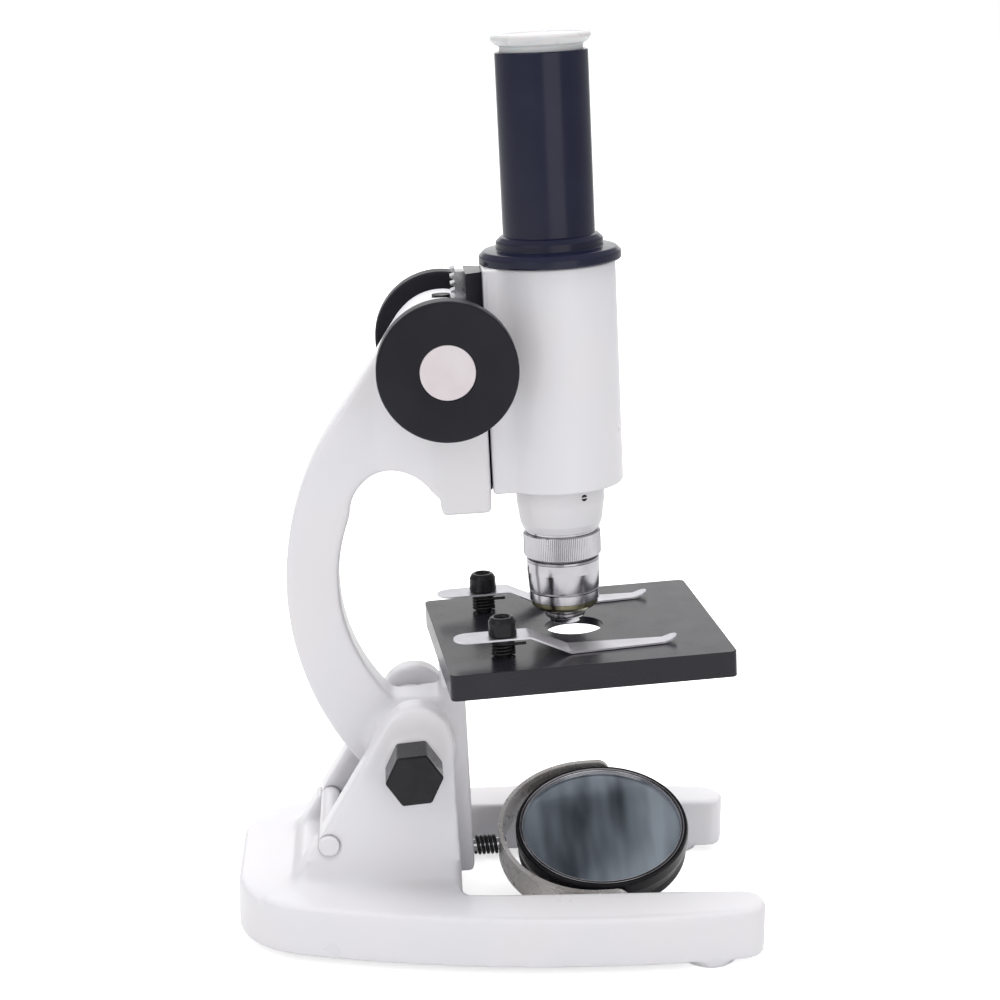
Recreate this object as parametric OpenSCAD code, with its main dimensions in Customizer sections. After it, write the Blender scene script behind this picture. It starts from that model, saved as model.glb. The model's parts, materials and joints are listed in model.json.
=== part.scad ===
// Upright student microscope: a horseshoe foot with two cheeks carries a leaning C-shaped limb.
// The limb holds the stage, the swivelling mirror and the focusing slide with its body tube.
// +X points forward, away from the limb; +Y points to the far side; +Z is up.
// The origin is the middle of the foot, at table level. Sizes are millimetres.

/* [Foot] */
// Overall length of the horseshoe foot
foot_l = 161; // [150:0.5:200]
// Overall width of the foot at its widest
foot_w = 110; // [104:0.5:140]
// Height of the foot's upper face above the table
foot_h = 18.4; // [14:0.2:20]
// Height of the cast pads under the foot
pad_h = 2.4; // [1.5:0.1:4]
// Width of the gap between the two legs
leg_gap = 71; // [70:0.5:78]
// Height of the arches on top of the two cheeks
cheek_top = 74.8; // [72:0.2:84]
// Width across the cheeks at their top
cheek_w = 47; // [44:0.5:58]
// Width of the slot between the cheeks
slot_w = 29; // [28:0.5:34]
// Diameter of the stop pin across the cheeks
stop_pin_d = 6.4; // [5:0.1:8]

/* [Inclination joint] */
// How far the limb leans back from upright, in degrees
arm_lean = 3.1; // [0:0.1:10]
// Height of the inclination axis
hinge_z = 56.5; // [54:0.5:60]
// How far the inclination axis lies behind the middle of the foot
hinge_back = 26; // [24:0.5:28]
// Diameter of the inclination bolt
bolt_d = 6; // [5:0.1:8]
// Distance across the flats of a clamp knob
hex_af = 15.5; // [12:0.1:20]
// Length of a clamp knob
hex_l = 13; // [8:0.5:18]
// Thickness of a friction washer
washer_t = 0.8; // [0.5:0.1:1.2]

/* [Limb] */
// Thickness of the curved limb
limb_t = 14; // [11:0.5:18]
// Radius of the limb's outer curve
limb_r_out = 89.7; // [86:0.1:92]
// Width of the focusing head
head_w = 28; // [26:0.5:32]
// Height of the head's upper face, with the limb upright
head_top = 196.7; // [194:0.1:210]
// Height of the head's lower lip
head_bottom = 131.3; // [128:0.1:136]

/* [Body tube] */
// Distance from the hinge axis forward to the optical axis
tube_ahead = 50.15; // [48:0.05:54]
// Outer diameter of the white body tube
body_d = 39.3; // [36:0.1:41]
// Height of the lower end of the body tube
body_bottom = 137; // [134:0.5:142]
// Length of the body tube
body_l = 68.3; // [60:0.1:80]
// Wall of the body tube
body_wall = 2.8; // [2:0.1:4]
// Width of the slide pad cast on the back of the body tube
pad_w = 27; // [24:0.5:30]
// Diameter at the top of the nosepiece
nose_d = 27.2; // [25:0.1:30]
// Length of the nosepiece below the body tube
nose_l = 14.6; // [12:0.1:18]

/* [Eyepiece] */
// Outer diameter of the black eyepiece tube
eye_d = 27.8; // [27.4:0.1:30]
// Length of the eyepiece tube above its collar
eye_l = 54; // [40:0.5:80]
// Diameter of the wide collar
collar_d = 43; // [41:0.1:46]
// Standard diameter of the removable eyepiece
eyepiece_d = 23.2; // [22:0.1:24]
// Diameter of the dust cap's rim
cap_d = 29.6; // [28:0.1:32]

/* [Objective] */
// Diameter of the knurled ring
ring_d = 24; // [23:0.1:26]
// Upper diameter of the barrel
barrel_d = 22.7; // [22:0.1:22.9]
// Diameter of the mounting thread
thread_d = 20.3; // [19:0.1:21]
// Diameter of the first step of the front lens mount
front_d = 12.6; // [11:0.1:14]

/* [Focusing drive] */
// Module of the rack and pinion
gear_m = 0.7; // [0.6:0.05:0.8]
// Teeth on the pinion
gear_z = 10; // [9:1:12]
// Width of the rack
rack_w = 6; // [4:0.5:8]
// Diameter of the pinion shaft
shaft_d = 5; // [4:0.1:5.2]
// Diameter of a focusing knob
knob_d = 41.6; // [36:0.2:46]
// Thickness of a focusing knob
knob_t = 8; // [7:0.5:16]
// Distance between the outer faces of the two knobs
knob_span = 67.2; // [64:0.2:76]
// Diameter of the pale disc in each knob
insert_d = 16.3; // [12:0.1:20]

/* [Stage] */
// Length of the stage, front to back
stage_l = 86.5; // [80:0.5:100]
// Width of the stage
stage_w = 78.5; // [70:0.5:90]
// Height of the stage's upper face, with the limb upright
stage_z = 90.1; // [89:0.1:90.3]
// Depth of the skirt round the stage
skirt_h = 8; // [7:0.5:10]
// Thickness of the stage plate
plate_t = 2.5; // [2:0.1:3.2]
// Diameter of the hole in the stage
hole_d = 18; // [14:0.5:22]
// How far the stage sits in front of the optical axis
stage_ahead = 2.5; // [0:0.1:4]
// How far the stage has turned on its screws, in degrees
stage_yaw = 4.2; // [0:0.1:5]

/* [Stage clips] */
// Distance from the stage's middle back to the clip posts
clip_back = 25.4; // [24:0.5:28]
// Distance from the stage's middle line to each clip post
clip_side = 24; // [22:0.5:30]
// Diameter of a clip post
post_d = 4.6; // [3.5:0.1:5]
// Diameter of a clip cap
clip_cap_d = 8.6; // [7:0.1:10]
// Height of a clip cap
clip_cap_h = 5.8; // [5:0.1:9]
// Height of the clip strip above the stage at its post
clip_rise = 6; // [5.5:0.1:8]
// Width of the clip strip
clip_w = 9.4; // [7.5:0.1:11]
// Thickness of the clip strip
clip_t = 0.6; // [0.4:0.05:1]
// Reach of the blade in front of its post
clip_reach = 53.4; // [44:0.5:58]

/* [Mirror] */
// Diameter of the mirror frame
mirror_d = 55.3; // [50:0.1:56]
// Thickness of the mirror frame
mirror_t = 11; // [9:0.5:12]
// Diameter of the mirror glass
glass_d = 50.2; // [45:0.1:51]
// How far the mirror has rolled about its post, in degrees
mirror_roll = 21; // [0:1:30]
// Distance from the limb's tail forward to the mirror's middle
mirror_ahead = 41.4; // [41:0.1:46]
// Height of the mirror post, with the limb upright
post_z = 18.4; // [17:0.1:22]
// Thickness of the yoke's strap
strap_t = 1.5; // [1:0.1:2.5]
// Width of the yoke's strap
strap_w = 11; // [6:0.5:12]

/* [Fits] */
// Radial clearance of a shaft that turns or slides in its hole
run_fit = 0.05; // [0.02:0.01:0.1]
// Gap between flat faces that slide past each other
slide_gap = 0.15; // [0.1:0.05:0.25]

/* [Hidden] */
$fn = 64;
EPS = 0.01;
FAR = 300;

// Foot
side_r = 305;                       // radius of the foot's long bulged sides
side_x = 25;                        // where the foot is widest
heel_r = 28;                        // rounding of the two corners at the back
toe_r = 8;                          // rounding of the outer corner of each toe
toe_in_r = 5;                       // rounding of the inner corner of each toe
gap_back = -11;                     // closed end of the gap between the legs
gap_r = 8;                          // rounding of that closed end
heel_x = -foot_l / 2 + heel_r;
heel_y = foot_w / 2 - 10 - heel_r - 1;
pad_pts = [[foot_l / 2 - 17, 1], [foot_l / 2 - 17, -1], [-foot_l / 2 + 18, 0]];
pad_l = 17;

// Cheeks
arch_r = 10.6;
arch_x = -24.9;
arch_z = cheek_top - arch_r;
cheek_heel = [-63.5, foot_h];       // where the slanted back edge meets the foot
cheek_toe = [gap_back, foot_h];     // where the front edge meets the foot
cheek_flare = 3.5;                  // how much wider each cheek is at the foot
pocket_x = -33;                     // the slot reaches into the foot in front of this
pocket_z = 9;                       // floor of the slot inside the foot
slot_floor = foot_h + 4;            // floor of the slot behind the pocket
pin_x = -52.1;
pin_z = 31;

// Inclination joint
hinge_x = -hinge_back;
boss_d = 27;
boss_w = slot_w - 2 * washer_t - 2 * slide_gap;
washer_d = 20;
bolt_l = cheek_w + 2 * (hex_l - 3);
hinge_face = cheek_w / 2 + 1.9;     // outer face of the round seat on each cheek
seat_d = 17;

// Optical axis and slide, with the limb upright
tube_x = hinge_x + tube_ahead;
head_front = tube_x - 21.65;        // front face of the focusing head
pad_back = head_front + 0.6;        // back face of the pad on the body tube
pitch_r = gear_m * gear_z / 2;
gear_add = 0.8 * gear_m;
gear_ded = 1.1 * gear_m;
rack_t = 3;                         // rack thickness behind its teeth
pinion_x = tube_x - 33.35;
pinion_z = head_top - 17.6;
rack_pitch_x = pinion_x + pitch_r;
rack_back_x = rack_pitch_x + gear_ded + rack_t;
rack_pitch = PI * gear_m;
rack_teeth = floor(body_l / rack_pitch);
bar_w_back = 18;                    // dovetail, wide side
bar_w_front = 13;                   // dovetail, narrow side
bar_l = body_l - 1.5;
bush_d = 9.4;
head_r = head_top - pinion_z;
head_back = -13;                    // back face of the head's lower lip
tension_d = 5.6;                    // head of the tension screw

// Limb
limb_cx = 27.9;
limb_cz = 106.8;
head_from_limb = [pinion_x - limb_cx, pinion_z - limb_cz];
back_a = atan2(head_from_limb[1], head_from_limb[0]) + acos((limb_r_out - head_r) / norm(head_from_limb));
back_dir = [cos(back_a), sin(back_a)]; // square to the straight back of the head
gap_cx = 9.4;                       // centre and radius of the gap's back curve
gap_cz = 108.9;
gap_rad = 54.8;
throat_z = 131;                     // height and radius of the gap's round upper end
throat_r = 13.8;
throat_x = gap_cx - sqrt(gap_rad * gap_rad - (throat_z - gap_cz) * (throat_z - gap_cz)) + throat_r;
ledge_z = 71.8;                     // flat bottom of the gap
neck_x = -16.2;                     // back face of the neck under the stage
tail_x = -8.6;                      // front face of the tail
tail_back = -23;
tail_z = 13;
tail_w = 17;
limb_cut_z = 45;                    // lower end of the curved part

// Stage
stage_cx = tube_x + stage_ahead;
stage_boss_h = skirt_h - plate_t;
bracket_top = stage_z - skirt_h;      // the skirt rests on the bracket
bracket_t = 4.5;
bracket_w = 38;
bracket_front = 12;
stage_screws_x = 0.8;
stage_screws_y = 12;
stage_screw_d = 3;
stage_screw_head = 6;

// Clips
spring_wire = 0.9;
spring_d = 7.6;
spring_turns = 4;
cap_z = clip_rise + clip_t;
blade_gap = 0.2;                    // the blade's underside above the stage
clip_flat = 8;                      // level stretch in front of the post
clip_foot = 20;                     // where the strip comes down to the stage
clip_tongue = 14.9;                 // reach of the finger tab behind the post
tip_w = 5;
nut_d = 6.4;
nut_h = 2.4;

// Objective
ring_z = body_bottom - nose_l;      // shoulder of the objective
neck_h = 0.8;
ring_h = 7.4;
ring_ch = 1;
barrel_z = ring_z - neck_h - ring_h - ring_ch;
barrel_h = 13.6;
band_h = 2.4;
band_z = barrel_z - barrel_h;
front_h = 3.2;
front_z = band_z - band_h;
tip_d = 10.4;
tip_h = 1.8;

// Mirror
mirror_x = tail_x + mirror_ahead;
glass_t = 1.6;
glass_sink = 1.4;
bezel_t = 0.8;
yoke_set_back = 2.7;                // the half ring's centre behind the mirror's middle
yoke_in_r = mirror_d / 2 + 1.4;
yoke_out_r = yoke_in_r + strap_t;
yoke_back = mirror_x - yoke_set_back - yoke_out_r;
pivot_d = 3;
pivot_head_d = 5.6;
pivot_in = 1.6;                     // how deep each pivot reaches into the frame
yoke_pad_d = strap_w + 1;           // round pad at each end of the yoke
rod_d = 4;
rod_in = 10;                        // how deep the post reaches into the tail
rivet_d = 4.6;
rivet_h = 1;

// ---- helpers ----

// Points on an arc about c, from angle a to angle b
function arc(c, r, a, b, n) = [for (i = [0:n]) c + r * [cos(a + (b - a) * i / n), sin(a + (b - a) * i / n)]];

// Point where a line from p touches the circle (c, r); side is 1 for its left and -1 for its right
function touch(p, c, r, side) =
    let (d = norm(c - p), a = atan2(c[1] - p[1], c[0] - p[0]) + side * asin(r / d))
    p + sqrt(d * d - r * r) * [cos(a), sin(a)];

// Turn a flat shape so that it stands in the XZ plane, w thick and centred on Y = 0
module side_plate(w) {
    rotate([90, 0, 0]) linear_extrude(w, center = true) children();
}

// A cylinder along Y between y0 and y1
module y_cyl(x, z, d, y0, y1) {
    translate([x, y0, z]) rotate([-90, 0, 0]) cylinder(d = d, h = y1 - y0);
}

// A cylinder along X between x0 and x1
module x_cyl(x0, x1, y, z, d) {
    translate([x0, y, z]) rotate([0, 90, 0]) cylinder(d = d, h = x1 - x0);
}

// The leaning frame of the limb: children are drawn with the limb upright
module lean() {
    translate([hinge_x, 0, hinge_z]) rotate([0, -arm_lean, 0]) translate([-hinge_x, 0, -hinge_z]) children();
}

// The stage's frame: origin at the middle of its hole, on its upper face
module on_stage() {
    lean() translate([stage_cx, 0, stage_z]) rotate([0, 0, stage_yaw]) children();
}

// The frame of one clip: origin on the stage at the foot of its post
module at_clip(side) {
    on_stage() translate([-clip_back, side * clip_side, 0]) children();
}

// The mirror's frame: origin at its middle, Y along its pivots, Z along its normal
module on_mirror() {
    lean() translate([mirror_x, 0, post_z]) rotate([mirror_roll, 0, 0]) children();
}

// The optical axis, with z = 0 at table level
module on_axis() {
    lean() translate([tube_x, 0, 0]) children();
}

// One wire coil about +Z: turns of pitch p, swept as a tube of round section
module coil(d, wire, turns, p, sides = 8, steps = 18) {
    n = round(turns * steps);
    pts = [for (i = [0:n]) let (a = 360 * i / steps, z = wire / 2 + p * i / steps)
        for (k = [0:sides - 1]) let (b = 360 * k / sides, r = d / 2 + wire / 2 * cos(b))
            [r * cos(a), r * sin(a), z + wire / 2 * sin(b)]];
    faces = concat(
        [[for (k = [0:sides - 1]) k]],
        [for (i = [0:n - 1]) for (k = [0:sides - 1]) let (m = (k + 1) % sides)
            [i * sides + k, (i + 1) * sides + k, (i + 1) * sides + m, i * sides + m]],
        [[for (k = [sides - 1:-1:0]) n * sides + k]]);
    polyhedron(pts, faces, convexity = 8);
}

// ---- foot and inclination joint ----

// Half of the foot's outline, from the heel round to the toe, on the side of negative Y
function foot_side() =
    let (half = foot_w / 2, cy = side_r - half)
    concat(
        arc([heel_x, -heel_y], heel_r, 180, 255, 14),
        [for (i = [1:12]) let (x = heel_x - 4 + (foot_l / 2 - toe_r - heel_x + 4) * i / 13)
            [x, cy - sqrt(side_r * side_r - (x - side_x) * (x - side_x))]],
        arc([foot_l / 2 - toe_r, -half + toe_r + 3.8], toe_r, -80, 0, 6),
        arc([foot_l / 2 - toe_in_r - 0.6, -leg_gap / 2 - toe_in_r], toe_in_r, 0, 90, 5),
        arc([gap_back + gap_r, -leg_gap / 2 + gap_r], gap_r, 270, 180, 6));

module foot_outline() {
    near = foot_side();
    far = [for (i = [len(near) - 1:-1:0]) [near[i][0], -near[i][1]]];
    polygon(concat(near, far));
}

// Side view of a cheek
module cheek_outline() {
    c = [arch_x, arch_z];
    heel = touch(cheek_heel, c, arch_r, 1);
    toe = touch(cheek_toe, c, arch_r, -1);
    translate(c) circle(arch_r);
    polygon([[cheek_heel[0], foot_h - 2], cheek_heel, heel, c, toe, cheek_toe, [cheek_toe[0], foot_h - 2]]);
}

module foot() {
    color("white")
    difference() {
        union() {
            translate([0, 0, pad_h]) linear_extrude(foot_h - pad_h) foot_outline();
            for (p = pad_pts)
                translate([p[0], p[1] * (foot_w / 2 - 11.5), 0]) cylinder(d = pad_l, h = pad_h + 1);
            intersection() {
                side_plate(cheek_w + 2 * cheek_flare + 2) cheek_outline();
                rotate([90, 0, 90]) linear_extrude(FAR, center = true)
                    polygon([[-cheek_w / 2 - cheek_flare, foot_h - 3], [cheek_w / 2 + cheek_flare, foot_h - 3],
                        [cheek_w / 2, cheek_top + 1], [-cheek_w / 2, cheek_top + 1]]);
            }
            y_cyl(hinge_x, hinge_z, seat_d, -hinge_face, hinge_face);
        }
        // slot for the limb, open at the front and back
        translate([-FAR / 2, -slot_w / 2, slot_floor]) cube([FAR, slot_w, FAR]);
        translate([pocket_x, -slot_w / 2, pocket_z]) cube([FAR, slot_w, FAR]);
        y_cyl(hinge_x, hinge_z, bolt_d + 2 * run_fit, -FAR / 2, FAR / 2);
        y_cyl(pin_x, pin_z, stop_pin_d, -FAR / 2, FAR / 2);
    }
}

module stop_pin() {
    half = cheek_w / 2 + cheek_flare;
    color("white") y_cyl(pin_x, pin_z, stop_pin_d, -half, half);
}

module inclination_bolt() {
    color("silver") y_cyl(hinge_x, hinge_z, bolt_d, -bolt_l / 2, bolt_l / 2);
}

// A six-sided clamp knob, screwed on the bolt against the seat of one cheek
module clamp_knob(side) {
    blind = bolt_l / 2 - hinge_face;
    color("#2b2a30") translate([hinge_x, side * hinge_face, hinge_z]) rotate([-90 * side, 0, 0])
        difference() {
            intersection() {
                rotate(6) cylinder(d = hex_af / cos(30), h = hex_l, $fn = 6);
                cylinder(d1 = hex_af / cos(30) + 8, d2 = hex_af / cos(30) - 0.6, h = hex_l);
            }
            translate([0, 0, -EPS]) cylinder(d = bolt_d + 2 * run_fit, h = blind + 0.2);
        }
}

module clamp_knob_near() { clamp_knob(-1); }
module clamp_knob_far() { clamp_knob(1); }

module friction_washers() {
    color("#7a4a2c")
    for (s = [-1, 1])
        lean() difference() {
            y_cyl(hinge_x, hinge_z, washer_d, s * (boss_w / 2 + washer_t / 2) - washer_t / 2,
                s * (boss_w / 2 + washer_t / 2) + washer_t / 2);
            y_cyl(hinge_x, hinge_z, bolt_d + 2 * run_fit, -FAR / 2, FAR / 2);
        }
}

// ---- limb ----

// Side view of the limb's curved part, its neck and its tail
module limb_outline() {
    difference() {
        intersection() {
            translate([limb_cx, limb_cz]) circle(limb_r_out, $fn = 128);
            union() {
                translate([-FAR, limb_cut_z]) square([FAR + tail_x, head_top - limb_cut_z]);
                translate([-FAR, head_bottom]) square([FAR + head_front, head_top - head_bottom]);
            }
        }
        // the open gap: curved back, round throat, flat ledge
        intersection() {
            translate([gap_cx, gap_cz]) circle(gap_rad, $fn = 128);
            translate([-FAR, ledge_z]) square([FAR + neck_x, throat_z - ledge_z]);
        }
        intersection() {
            translate([throat_x, throat_z]) circle(throat_r);
            translate([-FAR, throat_z - EPS]) square([2 * FAR, FAR]);
        }
        translate([neck_x - EPS, bracket_top]) square([FAR, head_bottom - bracket_top]);
        translate([head_back - 3, head_bottom - 2]) square([3, 8]);
    }
    translate([hinge_x, hinge_z]) circle(d = boss_d);
    translate([tail_back, tail_z]) square([tail_x - tail_back, limb_cut_z - tail_z + EPS]);
    // the round head, and the straight back between it and the limb's curve
    intersection() {
        translate([pinion_x, pinion_z]) circle(head_r);
        translate([-FAR, 0]) square([FAR + head_front, FAR]);
    }
    polygon([[pinion_x, pinion_z] + head_r * back_dir, [limb_cx, limb_cz] + limb_r_out * back_dir,
        [pinion_x, limb_cz + limb_r_out * back_dir[1]], [pinion_x, pinion_z]]);
}

// Seen from above, the limb widens into the head
module limb_plan() {
    polygon([[-FAR, -limb_t / 2], [-32, -limb_t / 2], [head_back - 2, -head_w / 2], [FAR, -head_w / 2],
        [FAR, head_w / 2], [head_back - 2, head_w / 2], [-32, limb_t / 2], [-FAR, limb_t / 2]]);
}

// Cross-section of the dovetail slide bar, grown by g on every side
module dovetail(g) {
    polygon([[rack_back_x - g, -bar_w_back / 2 - g], [rack_back_x - g, bar_w_back / 2 + g],
        [pad_back + g, bar_w_front / 2 + g], [pad_back + g, -bar_w_front / 2 - g]]);
}

module limb() {
    color("white")
    lean() difference() {
        union() {
            intersection() {
                side_plate(FAR) limb_outline();
                translate([0, 0, throat_z - 6]) linear_extrude(FAR) limb_plan();
            }
            intersection() {
                side_plate(limb_t) limb_outline();
                translate([-FAR, -FAR, 0]) cube([2 * FAR, 2 * FAR, throat_z - 6 + EPS]);
            }
            // the tail is thicker than the curved part
            translate([tail_back, -tail_w / 2, tail_z]) cube([tail_x - tail_back, tail_w, ledge_z - tail_z]);
            translate([neck_x, -tail_w / 2, ledge_z - 1]) cube([tail_x - neck_x, tail_w, bracket_top - ledge_z + 1]);
            y_cyl(hinge_x, hinge_z, boss_d, -boss_w / 2, boss_w / 2);
            // bracket under the stage
            translate([neck_x, -bracket_w / 2, bracket_top - bracket_t])
                cube([bracket_front - neck_x, bracket_w, bracket_t]);
        }
        y_cyl(hinge_x, hinge_z, bolt_d + 2 * run_fit, -FAR / 2, FAR / 2);
        // pinion bore, rack channel and dovetail slot
        y_cyl(pinion_x, pinion_z, bush_d, -FAR / 2, FAR / 2);
        translate([0, 0, head_bottom - 1]) linear_extrude(FAR) dovetail(slide_gap);
        translate([pinion_x, -rack_w / 2 - 0.4, head_bottom - 1])
            cube([rack_back_x - pinion_x + EPS, rack_w + 0.8, FAR]);
        // mirror post, stage screws and tension screw
        x_cyl(tail_x - rod_in, FAR, 0, post_z, rod_d + 2 * run_fit);
        for (s = [-1, 1])
            translate([stage_screws_x, s * stage_screws_y, bracket_top - bracket_t - 1])
                cylinder(d = stage_screw_d + 1, h = bracket_t + 2);
        translate([pinion_x, 0, head_top - 6]) cylinder(d = 4, h = 10);
        translate([pinion_x, 0, head_top - 1.2]) cylinder(d = tension_d + 0.2, h = 10);
    }
}

module tension_screw() {
    color("#3a3a40")
    lean() translate([pinion_x, 0, head_top]) difference() {
        union() {
            translate([0, 0, -6]) cylinder(d = 4, h = 5);
            translate([0, 0, -1.2]) cylinder(d = tension_d, h = 1.4);
        }
        translate([-4, -0.5, -0.6]) cube([8, 1, 2]);
    }
}

// ---- focusing drive ----

module pinion_bushes() {
    inner = rack_w / 2 + 1;
    color("#b08d4a")
    lean() for (s = [-1, 1])
        difference() {
            y_cyl(pinion_x, pinion_z, bush_d, s > 0 ? inner : -head_w / 2 - 0.4, s > 0 ? head_w / 2 + 0.4 : -inner);
            y_cyl(pinion_x, pinion_z, shaft_d + 2 * run_fit, -FAR / 2, FAR / 2);
        }
}

// One straight-flanked tooth standing on the circle of radius r
module gear_tooth(r, root, tip, half) {
    polygon([[r - 2 * root, -half - root * 0.36], [r - root, -half - root * 0.36], [r + tip, -half + tip * 0.42],
        [r + tip, half - tip * 0.42], [r - root, half + root * 0.36], [r - 2 * root, half + root * 0.36]]);
}

module pinion_shaft() {
    reach = knob_span / 2 - 3;
    half = rack_pitch / 4 - 0.14;
    color("silver")
    lean() {
        y_cyl(pinion_x, pinion_z, shaft_d, -reach, reach);
        translate([pinion_x, 0, pinion_z]) rotate([90, 0, 0])
            linear_extrude(rack_w + 0.6, center = true)
                for (i = [0:gear_z - 1])
                    rotate(360 * i / gear_z) gear_tooth(pitch_r, gear_ded, gear_add, half);
    }
}

module focus_knob(side) {
    face = knob_span / 2;
    hub_in = head_w / 2 + 0.6;
    color("#33343c")
    lean() translate([pinion_x, 0, pinion_z]) rotate([-90 * side, 0, 0]) difference() {
        union() {
            translate([0, 0, face - knob_t]) rotate_extrude()
                polygon(concat([[0, 0], [knob_d / 2 - 1.2, 0]],
                    arc([knob_d / 2 - 1.2, 1.2], 1.2, -90, 0, 4),
                    arc([knob_d / 2 - 1.6, knob_t - 1.6], 1.6, 0, 90, 5), [[0, knob_t]]));
            translate([0, 0, hub_in]) cylinder(d = 14, h = face - knob_t - hub_in + 1);
        }
        translate([0, 0, hub_in - 1]) cylinder(d = shaft_d, h = face - 3 - hub_in + 1);
        translate([0, 0, face - 1.4]) cylinder(d = insert_d, h = 5);
    }
}

module focus_knob_near() { focus_knob(-1); }
module focus_knob_far() { focus_knob(1); }

module knob_disc(side) {
    color("#d6cdd0")
    lean() translate([pinion_x, 0, pinion_z]) rotate([-90 * side, 0, 0])
        translate([0, 0, knob_span / 2 - 1.4]) cylinder(d = insert_d, h = 1.3);
}

module knob_disc_near() { knob_disc(-1); }
module knob_disc_far() { knob_disc(1); }

// The rack hangs on the slide bar; a gap between two of its teeth faces the pinion's axis
module rack() {
    half = rack_pitch / 4 - 0.14;
    z0 = body_bottom;
    first = ceil((z0 - pinion_z) / rack_pitch + 0.5) - 0.5;
    last = floor((z0 + body_l - pinion_z) / rack_pitch - 0.5) + 0.5;
    color("#9a9a9c")
    lean() side_plate(rack_w) {
        translate([rack_pitch_x + gear_ded, z0]) square([rack_t, bar_l]);
        for (i = [first:last])
            translate([rack_pitch_x, pinion_z + i * rack_pitch])
                polygon([[gear_ded + 0.2, -half - gear_ded * 0.36], [-gear_add, -half + gear_add * 0.36],
                    [-gear_add, half - gear_add * 0.36], [gear_ded + 0.2, half + gear_ded * 0.36]]);
    }
}

module slide_bar() {
    color("#26262c")
    lean() difference() {
        translate([0, 0, body_bottom]) linear_extrude(bar_l) dovetail(0);
        for (z = [0.25, 0.75])
            x_cyl(pad_back - 4, pad_back + EPS, 0, body_bottom + z * body_l, 3);
    }
}

module slide_screws() {
    reach = tube_x - body_d / 2 + body_wall + 0.3;
    color("#55555a")
    lean() for (z = [0.25, 0.75]) {
        x_cyl(pad_back - 4, reach, 0, body_bottom + z * body_l, 3);
        x_cyl(reach, reach + 1.6, 0, body_bottom + z * body_l, 5.4);
    }
}

// ---- body tube, nosepiece, eyepiece ----

module body_tube() {
    floor_t = 4;
    color("white")
    lean() difference() {
        union() {
            translate([tube_x, 0, body_bottom]) cylinder(d = body_d, h = body_l);
            // pad for the slide bar, with bevelled back edges
            translate([0, 0, body_bottom]) linear_extrude(body_l)
                polygon([[pad_back + 1.2, -pad_w / 2], [tube_x - 10, -pad_w / 2], [tube_x - 10, pad_w / 2],
                    [pad_back + 1.2, pad_w / 2], [pad_back, pad_w / 2 - 1.2], [pad_back, 1.2 - pad_w / 2]]);
        }
        translate([tube_x, 0, body_bottom + floor_t]) cylinder(d = body_d - 2 * body_wall, h = body_l);
        translate([tube_x, 0, body_bottom - 1]) cylinder(d = nose_d - 4, h = 10);
        for (z = [0.25, 0.75])
            x_cyl(pad_back - 1, tube_x - 8, 0, body_bottom + z * body_l, 3);
    }
}

module nosepiece() {
    color("white")
    on_axis() difference() {
        union() {
            translate([0, 0, body_bottom]) cylinder(d = nose_d - 4, h = 6);
            translate([0, 0, body_bottom - nose_l]) rotate_extrude()
                polygon([[0, 0], [nose_d / 2 - 1.9, 0], [nose_d / 2 - 0.9, 2.4], [nose_d / 2, 9],
                    [nose_d / 2, nose_l], [0, nose_l]]);
        }
        translate([0, 0, body_bottom - nose_l - 1]) cylinder(d = thread_d, h = 8);
        translate([0, 0, body_bottom - nose_l]) cylinder(d = thread_d - 2.3, h = FAR);
        rotate(-62) x_cyl(thread_d / 2 - 1, FAR, 0, body_bottom - 3, 2);
    }
}

module nose_screw() {
    color("#2a2a2e")
    on_axis() rotate(-62) difference() {
        x_cyl(nose_d / 2 - 3, nose_d / 2 + 0.2, 0, body_bottom - 3, 2);
        translate([nose_d / 2 - 0.6, -2, body_bottom - 3.2]) cube([2, 4, 0.4]);
    }
}

module eyepiece_tube() {
    z = body_bottom + body_l;
    spigot = body_d - 2 * body_wall;
    color("#2d2d3c")
    on_axis() difference() {
        union() {
            translate([0, 0, z - 6]) cylinder(d = spigot, h = 7);
            translate([0, 0, z]) rotate_extrude()
                polygon([[0, 0], [collar_d / 2 - 0.4, 0], [collar_d / 2, 0.5], [collar_d / 2, 2.4],
                    [collar_d / 2 - 1.2, 3.7], [eye_d / 2 + 2.2, 4.2], [eye_d / 2 + 2.2, 6.6],
                    [eye_d / 2 + 1, 7.8], [eye_d / 2, 8], [eye_d / 2, 8 + eye_l - 0.4],
                    [eye_d / 2 - 0.4, 8 + eye_l], [0, 8 + eye_l]]);
        }
        translate([0, 0, z - 7]) cylinder(d = eyepiece_d + 2 * run_fit, h = FAR);
        translate([0, 0, z + 8 + eye_l - 7]) cylinder(d = eye_d - 2.6, h = 20);
    }
}

// Heights of the eyepiece parts
eye_seat = body_bottom + body_l + 8 + eye_l - 7;

module eyepiece_barrel() {
    color("#202024")
    on_axis() difference() {
        union() {
            translate([0, 0, eye_seat - 32]) cylinder(d = eyepiece_d, h = 33);
            translate([0, 0, eye_seat]) cylinder(d = eye_d - 3, h = 3.4);
        }
        translate([0, 0, eye_seat - 33]) cylinder(d = eyepiece_d - 3, h = FAR);
    }
}

// A lens of glass, flat below and crowned above
module crowned_lens(d, edge, crown) {
    r = (d * d / 4 + crown * crown) / (2 * crown);
    intersection() {
        cylinder(d = d, h = edge + crown + 1);
        translate([0, 0, edge + crown - r]) sphere(r, $fn = 96);
    }
}

module eye_lens() {
    color("#a8c4d8", 0.5)
    on_axis() translate([0, 0, eye_seat - 1]) crowned_lens(eyepiece_d - 3, 1.6, 1.8);
}

module field_lens() {
    color("#a8c4d8", 0.5)
    on_axis() translate([0, 0, eye_seat - 31]) crowned_lens(eyepiece_d - 3, 1.6, 1.8);
}

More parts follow.
